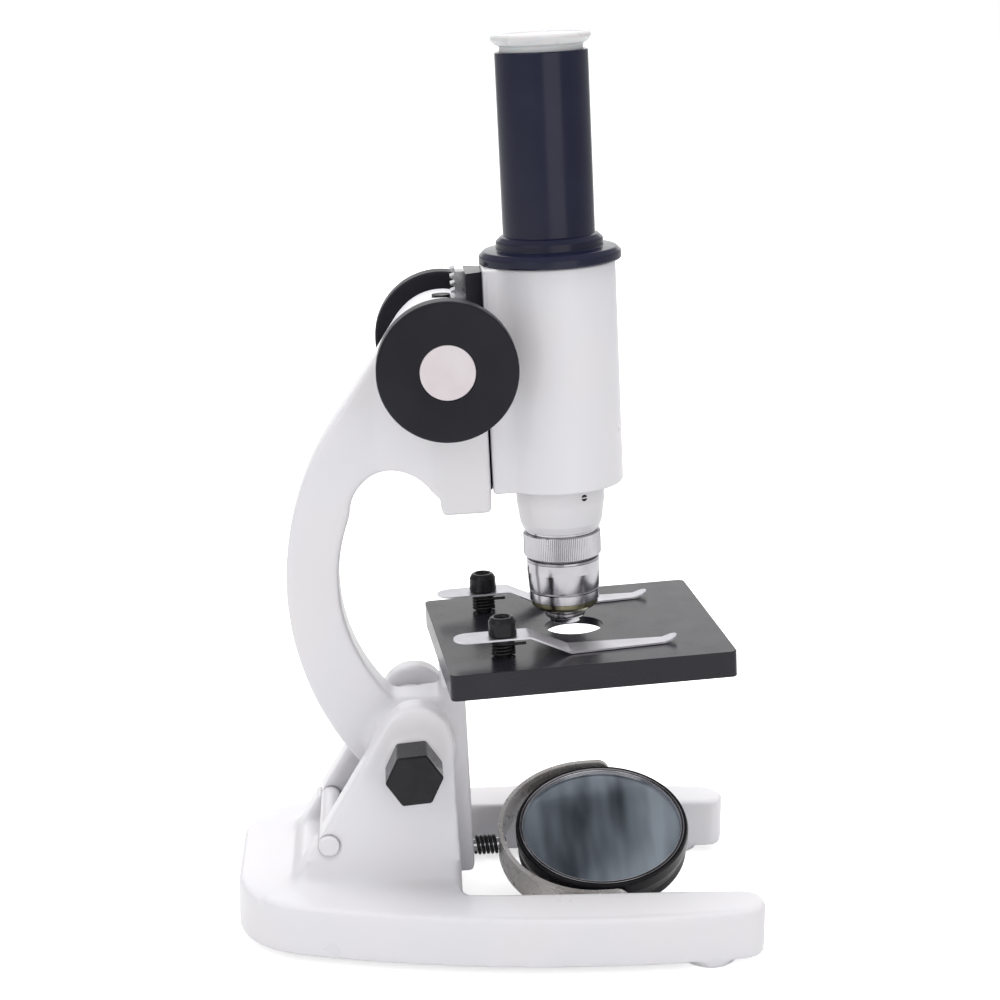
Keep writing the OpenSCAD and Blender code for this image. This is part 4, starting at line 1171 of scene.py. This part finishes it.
@dataclass
class EyepieceEnd(Assembly):
    """Black eyepiece tube with its double collar, the eyepiece in it and the dust cap."""

    collar_step: float = 4.2
    bore: float = 11.7
    bore_depth: float = 6.9
    spigot_r: float = 16.8
    mouth_wall: float = 1.3
    barrel_bore: float = 10.15
    barrel_r: float = 11.55
    flange: float = 3.4
    lid_gap: float = 1.9
    plug_in: float = 2.35
    plug_wall: float = 1.2

    def build(self) -> None:
        """Build the eyepiece end from the collar up."""
        self.tube()
        self.barrel()
        self.cap()
        for lens in ("eye_lens", "field_lens"):
            self.shop.dress(lens, self.places.axis, LENS)

    def tube(self) -> None:
        """The tube: spigot, wide collar, step, and a plain tube with a softened mouth."""
        axis = self.places.axis
        box = axis.span("eyepiece_tube")
        spigot = box.lo.z
        seat = axis.span("body_tube").hi.z
        wide = box.size.x / 2
        r = axis.span("dust_cap").size.x / 2 - 0.9
        mouth = box.hi.z
        step = seat + self.collar_step
        inner = r - self.mouth_wall
        shelf = mouth - self.bore_depth
        shape = Shape().lathe([
            (self.bore, spigot, 0), (self.spigot_r, spigot, 0.3), (self.spigot_r, seat, 0),
            (wide - 0.3, seat, 0.3), (wide, seat + 0.5, 0.3), (wide, seat + 2.4, 0.6),
            (wide - 1.4, seat + 3.8, 0.9), (r + 2.3, step, 0.5), (r + 2.3, step + 2.3, 0.7),
            (r + 0.9, step + 3.6, 0.6), (r, step + 3.9, 0.3), (r, mouth - 0.2, 0.5), (r - 0.5, mouth, 0.4),
            (inner, mouth, 0.2), (inner, shelf, 0), (self.bore, shelf, 0)], 160)
        self.shop.piece("eyepiece_tube_moulded", shape, axis, BLUE_BLACK, "eyepiece_tube")

    def barrel(self) -> None:
        """The removable eyepiece's own barrel, inside the tube."""
        axis = self.places.axis
        box = axis.span("eyepiece_barrel")
        low = box.lo.z
        high = box.hi.z
        wide = box.size.x / 2
        under = high - self.flange
        shape = Shape().lathe([
            (self.barrel_bore, low, 0.2), (self.barrel_r, low, 0.4), (self.barrel_r, under, 0),
            (wide, under, 0.3), (wide, high, 0.5), (self.barrel_bore, high, 0.3)])
        self.shop.piece("eyepiece_barrel_turned", shape, axis, GLOSS_BLACK, "eyepiece_barrel")

    def cap(self) -> None:
        """The milky cap: a flared lid over a thin plug."""
        axis = self.places.axis
        box = axis.span("dust_cap")
        r = box.size.x / 2
        low = box.lo.z
        high = box.hi.z
        lid = axis.span("eyepiece_tube").hi.z + self.lid_gap
        plug = r - self.plug_in
        inner = plug - self.plug_wall
        shape = Shape().lathe([
            (inner, low, 0.3), (plug, low, 0.4), (plug, lid - 0.2, 0.8), (r - 1.3, lid + 0.1, 0.5),
            (r, lid + 1.6, 0.5), (r, lid + 2.5, 0.4), (r - 0.5, high, 0.4), (r - 2.2, high, 0.3),
            (r - 2.6, high - 0.5, 0.2), (0, high - 0.5, 0), (0, lid + 0.1, 0),
            (inner, lid + 0.1, 0.5)], 128)
        self.shop.piece("dust_cap_moulded", shape, axis, MILKY, "dust_cap")


@dataclass
class Objective(Assembly):
    """The screw-in objective: knurled ring, barrel, band, front mount and lens."""

    knurls: int = 120
    knurl_depth: float = 0.26
    barrel_r: float = 11.35
    ring_bore: float = 10.2
    core_r: float = 10.15
    thread_r: float = 10.12
    root_r: float = 9.75
    threads: int = 7
    pitch: float = 0.75
    inner_bore: float = 4.5
    outer_bore: float = 7.0
    front_bore: float = 2.0
    gap: float = 0.02

    def build(self) -> None:
        """Build the objective from the top down."""
        self.ring()
        self.barrel()
        self.band()
        self.front()
        self.shop.dress("front_lens", self.places.axis, LENS)

    def ring(self) -> None:
        """The knurled ring, with straight knurls between two plain lips."""
        axis = self.places.axis
        box = axis.span("objective_ring")
        r = box.size.x / 2
        low = box.lo.z
        high = box.hi.z
        shape = Shape().lathe([
            (self.ring_bore, low, 0), (r - 1.2, low, 0.2), (r - 0.15, low + 0.95, 0.1), (r, low + 1.05, 0),
            (r, high - 0.5, 0), (r - 0.1, high - 0.4, 0), (r - 0.35, high, 0.1), (self.ring_bore, high, 0)],
            self.knurls * 2)
        pitch = math.pi / self.knurls
        for v in shape.bm.verts:
            column = round(math.atan2(v.co.y, v.co.x) / pitch)
            if column % 2 and v.co.xy.length > r - 0.05:
                v.co.xy *= 1 - self.knurl_depth / r
        self.shop.piece("objective_ring_knurled", shape, axis, NICKEL, "objective_ring", sharp=28)

    def barrel(self) -> None:
        """The barrel with its shoulder, two fine grooves and mounting thread."""
        axis = self.places.axis
        box = axis.span("objective_barrel")
        ring = axis.span("objective_ring")
        low = box.lo.z
        top = ring.lo.z
        neck_r = ring.size.x / 2 - 0.8
        neck_top = axis.span("nosepiece").lo.z - 0.05
        r = self.barrel_r
        core = self.core_r
        above = ring.hi.z + self.gap
        body = rounded([
            (self.outer_bore, low, 0), (r - 0.55, low, 0.2), (r - 0.55, low + 2.9, 0.4),
            (r - 0.45, low + 3.3, 0.1), (r - 0.7, low + 3.5, 0.05), (r - 0.4, low + 3.8, 0.1),
            (r, top - 4.2, 1.0), (r, top - 0.9, 0.1), (r - 0.2, top - 0.8, 0.05), (r, top - 0.7, 0.1),
            (r - 0.1, top - 0.1, 0.2), (core, top - self.gap, 0), (core, above, 0), (neck_r, above, 0.1),
            (neck_r, neck_top, 0.1), (core, neck_top, 0)])
        thread = [Vector((core, box.hi.z - 5.9))]
        for i in range(self.threads):
            z = box.hi.z - 5.6 + i * self.pitch
            thread += [Vector((self.thread_r, z)), Vector((self.root_r, z + 0.37))]
        inside = [(self.root_r, box.hi.z), (self.inner_bore, box.hi.z), (self.inner_bore, low + 4),
                  (self.outer_bore, low + 4)]
        shape = Shape().spin(body + thread + [Vector(p) for p in inside], 128, closed=True)
        self.shop.piece("objective_barrel_turned", shape, axis, NICKEL, "objective_barrel", sharp=28)

    def band(self) -> None:
        """The lacquered olive-gold band under the barrel."""
        axis = self.places.axis
        box = axis.span("objective_band")
        low = box.lo.z
        high = box.hi.z
        top = axis.span("objective_barrel").lo.z - self.gap
        r = box.size.x / 2
        shape = Shape().lathe([
            (self.inner_bore, low, 0), (r - 1.0, low, 0.2), (r, low + 1.0, 0.3), (r, top, 0.1),
            (self.outer_bore, top, 0), (self.outer_bore, high, 0.2), (self.inner_bore, high, 0.2)])
        self.shop.piece("objective_band_lacquered", shape, axis, OLIVE_GOLD, "objective_band")

    def front(self) -> None:
        """The stepped front mount round the front lens."""
        axis = self.places.axis
        box = axis.span("front_mount")
        low = box.lo.z
        top = axis.span("objective_band").lo.z - self.gap
        r = box.size.x / 2
        shape = Shape().lathe([
            (self.front_bore, low + 0.3, 0.1), (r - 1.6, low, 0.2), (r - 1.1, low + 1.75, 0.15),
            (r - 0.2, low + 1.8, 0.15), (r, low + 2.2, 0.2), (r, low + 3.1, 0.1),
            (r - 0.2, low + 3.2, 0.05), (r, low + 3.4, 0.1), (r, top - 0.3, 0.2), (r - 0.3, top, 0),
            (self.inner_bore, top, 0), (self.inner_bore, box.hi.z, 0.2), (self.front_bore, box.hi.z, 0.2)])
        self.shop.piece("front_mount_turned", shape, axis, NICKEL, "front_mount")


@dataclass
class StageAssembly(Assembly):
    """Square stage with its screws and the two spring clips."""

    edge: float = 1.0
    wire: float = 0.9
    turns: float = 3.75
    tail: float = 6.6
    cap_r: float = 4.3
    strip_thick: float = 0.55
    strip_low: float = 0.2
    level: float = 8.0
    foot_x: float = 20.0
    tip_rise: float = 1.5
    tip_length: float = 4.2
    tip_half: float = 2.5
    step: float = 1.2
    least: float = 0.06
    small_round: float = 0.25

    def build(self) -> None:
        """Build the stage and everything on it."""
        stage = self.places.stage
        self.shop.ease("stage_enamelled", "stage", stage, BLACK_ENAMEL, self.edge, 3)
        self.shop.ease("stage_screws_turned", "stage_screws", stage, ZINC, self.small_round)
        self.shop.ease("clip_nuts_eased", "clip_nuts", stage, ZINC, self.small_round)
        self.shop.dress("clip_posts", stage, BLACKENED)
        for side in SIDES:
            self.spring(side)
            self.blade(side)
            self.shop.dress(f"clip_collar_{side}", self.places.clips[side], BLACKENED)
        self.caps()

    def caps(self) -> None:
        """The two black caps over the posts, each with a hollow crown."""
        joined = Shape()
        r = self.cap_r
        for side in SIDES:
            clip = self.places.clips[side]
            low = clip.span(f"clip_blade_{side}").hi.z + 0.02
            high = clip.span("clip_caps").hi.z
            cap = Shape().lathe([
                (0, low, 0), (r - 0.3, low, 0.2), (r, low + 0.4, 0.2), (r - 0.15, high - 1.5, 0.4),
                (r - 0.8, high - 0.3, 0.5), (r - 1.3, high, 0.3), (r - 1.8, high, 0.2),
                (r - 2.2, high - 0.9, 0.3), (0, high - 1.0, 0)], 64, closed=False)
            shift = self.places.stage.matrix.inverted() @ clip.matrix
            shift.translation = shift.translation / MM
            joined.join(cap.turned(shift))
        self.shop.piece("clip_caps_moulded", joined, self.places.stage, GLOSS_BLACK, "clip_caps")

    def spring(self, side: str) -> None:
        """The black coil spring under one strip.

        Args:
            side: near or far.
        """
        clip = self.places.clips[side]
        box = clip.span(f"clip_spring_{side}")
        radius = box.size.y / 2 - self.wire / 2
        low = box.lo.z + self.wire / 2
        high = box.hi.z - self.wire / 2
        coil = Shape().coil(radius, self.wire, self.turns, high - low, tail=self.tail)
        coil.turned(Matrix.Translation((0, 0, low)))
        self.shop.piece(f"clip_spring_{side}_wound", coil, clip, BLACKENED, f"clip_spring_{side}",
                        sharp=60)

    def blade(self, side: str) -> None:
        """One spring strip: round tab, level stretch, slope, blade and turned-up tip.

        Args:
            side: near or far.
        """
        clip = self.places.clips[side]
        box = clip.span(f"clip_blade_{side}")
        half = box.size.y / 2
        rise = box.hi.z - self.strip_thick
        back = box.lo.x
        tip = box.hi.x
        low = self.strip_low
        path = rounded([
            (back, rise, 0), (self.level, rise, 3.0), (self.foot_x, low, 3.0),
            (tip - self.tip_length, low, 3.0), (tip, low + self.tip_rise, 0)], steps=8)
        dense = [path[0]]
        for a, b in zip(path, path[1:]):
            count = max(1, int((b - a).length / self.step))
            dense += [a.lerp(b, (i + 1) / count) for i in range(count)]
        start = back + half
        end = tip - self.tip_half
        slope = (path[-1] - path[-2]).normalized()
        ends = [Vector((start - half * math.cos(math.radians(t)), rise)) for t in range(0, 90, 15)]
        nose = [Vector((end + self.tip_half * math.sin(math.radians(t)), 0)) for t in range(0, 91, 15)]
        for p in nose:
            p.y = path[-1].y - (tip - p.x) * slope.y / slope.x
        dense = ends + [p for p in dense if start < p.x < end] + nose

        def half_width(x: float) -> float:
            """Give half the strip's width at a place along it.

            Args:
                x: The place.

            Returns:
                Half the width.
            """
            if x < start:
                return max(self.least, math.sqrt(max(0.0, half ** 2 - (start - x) ** 2)))
            if x > end:
                return max(self.least, math.sqrt(max(0.0, self.tip_half ** 2 - (x - end) ** 2)))
            taper = max(0.0, (x - self.foot_x) / (end - self.foot_x))
            return half + (self.tip_half - half) * taper

        strip = Shape().strip(dense, half_width, self.strip_thick)
        self.shop.piece(f"clip_blade_{side}_sprung", strip, clip, CLIP_STEEL, f"clip_blade_{side}",
                        sharp=30)


@dataclass
class MirrorGroup(Assembly):
    """Two-sided mirror in its fork, with the post and spring that hold it on the tail."""

    wire: float = 1.1
    spring_turns: int = 5
    strap_thick: float = 1.5
    strap_narrow: float = 0.5
    lip_wide: float = 0.5
    lip_deep: float = 0.4
    bezel_wide: float = 0.95
    gap: float = 0.02
    dish: float = 1.1
    dish_rim: float = 0.8
    pivot_in: float = 1.6

    def build(self) -> None:
        """Build the mirror group from the post forward."""
        self.post()
        self.strap()
        self.frame_ring()
        self.glasses()
        self.pivots()

    def post(self) -> None:
        """The post with its rivet head, and the black spring round it."""
        post = self.places.post
        self.shop.ease("mirror_post_riveted", "mirror_post", post, NICKEL, 0.3)
        box = post.span("post_spring")
        radius = box.size.y / 2 - self.wire / 2
        length = box.size.x - self.wire
        coil = Shape().coil(radius, self.wire, self.spring_turns, length)
        coil.turned(Matrix.Translation((box.lo.x + self.wire / 2, 0, 0)) @ quarter("Y"))
        self.shop.piece("post_spring_wound", coil, post, BLACKENED, "post_spring", sharp=60)

    def strap(self) -> None:
        """The fork: a flat strap bent round the back of the mirror, with round ends."""
        mirror = self.places.mirror
        box = mirror.span("yoke")
        outer = box.hi.y
        inner = outer - self.strap_thick
        back = box.lo.x + outer
        pad_half = box.size.z / 2
        half = pad_half - self.strap_narrow
        ring = arc((back, 0), inner, 90, 270, 64)
        straight = [Vector((pad_half * math.cos(math.radians(a)), inner)) for a in range(0, 90, 12)]
        straight += [Vector((x, inner)) for x in (0.0, back / 2)]
        path = straight + ring + [Vector((p.x, -p.y)) for p in reversed(straight)]
        shape = Shape()
        verts = [shape.bm.verts.new((p.x, p.y, 0)) for p in path]
        edges = [shape.bm.edges.new(pair) for pair in zip(verts, verts[1:])]
        grown = bmesh.ops.extrude_edge_only(shape.bm, edges=edges)["geom"]
        fresh = set(only(grown, bmesh.types.BMVert))
        for v in shape.bm.verts:
            reach = half
            if v.co.x > 0:
                reach = max(0.1, math.sqrt(max(0.0, pad_half ** 2 - v.co.x ** 2)))
            v.co.z = min(reach, half) * (1 if v in fresh else -1)
        shape.outward()
        middle = Vector((back, 0, 0))
        out = sum(f.normal.dot(f.calc_center_median() - middle) for f in shape.bm.faces)
        thick = -self.strap_thick if out > 0 else self.strap_thick
        bmesh.ops.solidify(shape.bm, geom=shape.bm.faces[:], thickness=thick)
        shape.outward().round_edges(0.25, 2, 60)
        self.shop.piece("yoke_strap", shape, mirror, STRAP_NICKEL, "yoke")

    def frame_ring(self) -> None:
        """The black frame, two pans back to back, and the bright bezels in it."""
        mirror = self.places.mirror
        box = mirror.span("mirror_frame")
        r = box.size.y / 2
        half = box.size.z / 2
        seat = mirror.span("mirror_bezels").size.y / 2
        lip = seat + self.lip_wide
        ledge = half - self.lip_deep
        glass = mirror.span("plane_mirror")
        web = glass.lo.z
        ring = Shape().lathe([
            (0, -web, 0), (seat, -web, 0), (seat, -ledge, 0), (lip, -ledge, 0), (lip, -half + 0.1, 0),
            (r - 0.9, -half, 0.4), (r - 0.6, -half + 0.8, 0.5), (r - 1.2, -half + 2.6, 1.0),
            (r - 0.9, -0.6, 0.8), (r - 0.2, 0.2, 0.5), (r, 1.2, 0.6), (r, half - 0.9, 0.6),
            (r - 0.5, half, 0.4), (lip, half - 0.1, 0), (lip, ledge, 0), (seat, ledge, 0), (seat, web, 0),
            (0, web, 0)], 160, closed=False)
        self.shop.piece("mirror_frame_spun", ring, mirror, GLOSS_BLACK, "mirror_frame")
        rings = Shape()
        low = glass.hi.z
        high = half - self.gap
        inner = seat - self.bezel_wide
        outer = seat - self.gap
        step = ledge + self.gap
        for side in (1, -1):
            part = Shape().lathe([
                (inner, low, 0), (outer, low, 0), (outer, step, 0), (lip - self.gap, step, 0),
                (lip - 0.05, high, 0.2), (inner + 0.4, high, 0.4)], 160)
            rings.join(part.turned(Matrix.Diagonal((1, 1, side, 1))))
        self.shop.piece("mirror_bezels_spun", rings, mirror, NICKEL, "mirror_bezels")

    def glasses(self) -> None:
        """The plane mirror, and the concave one on the back."""
        mirror = self.places.mirror
        plane = mirror.span("plane_mirror")
        r = plane.size.y / 2
        low = plane.lo.z
        high = plane.hi.z
        # Both glasses wear the mirror finish, whose light streaks are painted reflection.
        disc = Shape().lathe([(0, low, 0), (r, low, 0), (r, high, 0.3), (0, high, 0)], 128, closed=False)
        self.shop.piece("plane_mirror_silvered", disc, mirror, MIRROR_GLASS, "plane_mirror")
        hollow = mirror.span("concave_mirror")
        low = hollow.lo.z
        high = hollow.hi.z
        bow = (r * r + self.dish * self.dish) / (2 * self.dish)
        edge = math.degrees(math.asin((r - self.dish_rim) / bow))
        curve = arc((0, low + self.dish - bow), bow, 90, 90 - edge, 14)
        curve += [Vector((r, low + 0.05)), Vector((r, high)), Vector((0, high))]
        disc = Shape().spin(curve, 128, closed=False)
        self.shop.piece("concave_mirror_silvered", disc, mirror, MIRROR_GLASS, "concave_mirror")

    def pivots(self) -> None:
        """The two pivot screws, with domed heads."""
        mirror = self.places.mirror
        strap = mirror.span("yoke").hi.y
        start = mirror.span("mirror_frame").hi.y - self.pivot_in
        end = mirror.span("yoke_pivots").hi.y
        pair = Shape()
        for side in (1, -1):
            screw = Shape().lathe([
                (0, start, 0), (1.5, start, 0.2), (1.5, strap, 0), (2.8, strap, 0.1),
                (2.8, strap + 0.5, 0.5), (1.6, end, 0.8), (0, end, 0)], 48, closed=False)
            pair.join(screw.turned(quarter("X", -side)))
        self.shop.piece("yoke_pivots_slotted", pair, mirror, ZINC, "yoke_pivots")


# ---------------------------------------------------------------- studio


@dataclass
class Studio:
    """Pale floor, even white light and the camera."""

    camera_at: Triple = (-0.0373, -0.6598, 0.3009)
    looks_at: Triple = (0.00137, 0.0, 0.1335)
    roll: float = 0.32
    lens: float = 79.6
    sensor: float = 36.0
    near_clip: float = 0.01
    floor_half: float = 6.0
    floor_tone: float = 0.93
    floor_rough: float = 0.9
    dome: float = 0.46
    floor_glow: float = 0.6
    glow_near: float = 0.3
    glow_far: float = 1.6
    lit: Triple = (0.0, 0.0, 0.12)

    def build(self) -> None:
        """Set up the floor, the lights and the camera."""
        bpy.context.scene.view_settings.view_transform = "Standard"
        self.world()
        self.floor()
        self.lamps()
        self.camera()

    def world(self) -> None:
        """A white surround that lights the object less than it shows behind it."""
        world = bpy.data.worlds.new("surround")
        bpy.context.scene.world = world
        world.use_nodes = True
        tree = world.node_tree
        path = add_node(tree, "LightPath", {})
        level = add_node(tree, "MapRange", {"Value": path.outputs["Is Camera Ray"], "To Min": self.dome,
                                            "To Max": 1.0})
        feed(tree, tree.nodes["Background"], {"Color": (1, 1, 1, 1), "Strength": level.outputs["Result"]})

    def floor(self) -> None:
        """A plain pale floor."""
        square = Shape()
        bmesh.ops.create_grid(square.bm, x_segments=1, y_segments=1, size=self.floor_half)
        mesh = square.mesh("floor")
        floor = set_down("floor", mesh)
        material = bpy.data.materials.new("floor_pale")
        material.use_nodes = True
        tree = material.node_tree
        feed(tree, tree.nodes["Principled BSDF"], {
            "Base Color": (self.floor_tone, self.floor_tone, self.floor_tone, 1),
            "Roughness": self.floor_rough, "Emission Color": (1, 1, 1, 1),
            "Emission Strength": self.glow(tree)})
        mesh.materials.append(material)

    def glow(self, tree: bpy.types.NodeTree) -> bpy.types.NodeSocket:
        """Let the floor fade into the white surround, only where it is seen directly.

        Args:
            tree: The floor material's node tree.

        Returns:
            Strength of the floor's own light.
        """
        coordinates = add_node(tree, "TexCoord", {})
        away = add_node(tree, "VectorMath", {0: coordinates.outputs["Object"]}, operation="LENGTH")
        level = add_node(tree, "MapRange", {"Value": away.outputs["Value"], "From Min": self.glow_near,
                                            "From Max": self.glow_far, "To Min": self.floor_glow})
        path = add_node(tree, "LightPath", {})
        seen = add_node(tree, "Math", {0: level.outputs["Result"], 1: path.outputs["Is Camera Ray"]},
                        operation="MULTIPLY")
        return seen.outputs["Value"]

    def lamp(self, name: str, at: Triple, size: float, power: float, mirrored: bool = True) -> None:
        """A square soft lamp that faces the instrument.

        Args:
            name: Name of the lamp.
            at: Where it hangs, in metres.
            size: Its side, in metres.
            power: Its power, in watts.
            mirrored: Whether bright surfaces mirror it.
        """
        data = bpy.data.lights.new(name, "AREA")
        data.size = size
        data.energy = power
        lamp = set_down(name, data)
        lamp.visible_camera = False
        lamp.visible_glossy = mirrored
        lamp.location = at
        aim = Vector(self.lit) - Vector(at)
        lamp.rotation_euler = aim.to_track_quat("-Z", "Y").to_euler()

    def lamps(self) -> None:
        """Broad lamps from the front left, the front, above (not mirrored) and behind."""
        self.lamp("key_left", (-1.0, -1.0, 0.8), 1.2, 3.6)
        self.lamp("fill_front", (0.5, -1.4, 0.5), 1.2, 4.1)
        self.lamp("top_soft", (0.0, 0.1, 1.4), 1.3, 21, mirrored=False)
        self.lamp("back_wall", (0.1, 1.6, 0.55), 1.4, 5)

    def camera(self) -> None:
        """The camera, a little to the left and above."""
        data = bpy.data.cameras.new("camera")
        data.lens = self.lens
        data.sensor_width = self.sensor
        data.clip_start = self.near_clip
        camera = set_down("camera", data)
        at = Vector(self.camera_at)
        aim = (Vector(self.looks_at) - at).to_track_quat("-Z", "Y")
        turn = aim.to_matrix().to_4x4() @ Matrix.Rotation(math.radians(self.roll), 4, "Z")
        camera.matrix_world = Matrix.Translation(at) @ turn
        bpy.context.scene.camera = camera


def main() -> None:
    """Build the instrument from the foot up, then the studio."""
    logging.basicConfig(level=logging.INFO, format="%(name)s: %(message)s")
    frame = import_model()
    places = Places({joint["name"]: joint for joint in frame["joints"]})
    shop = Workshop(frame, FinishKit())
    for assembly in (FootAssembly, LimbAssembly, FocusDrive, BodyTube, EyepieceEnd, Objective,
                     StageAssembly, MirrorGroup):
        assembly(shop, places).build()
    Studio().build()
    LOG.info("%d pieces built", shop.count)


if __name__ == "__main__":
    main()
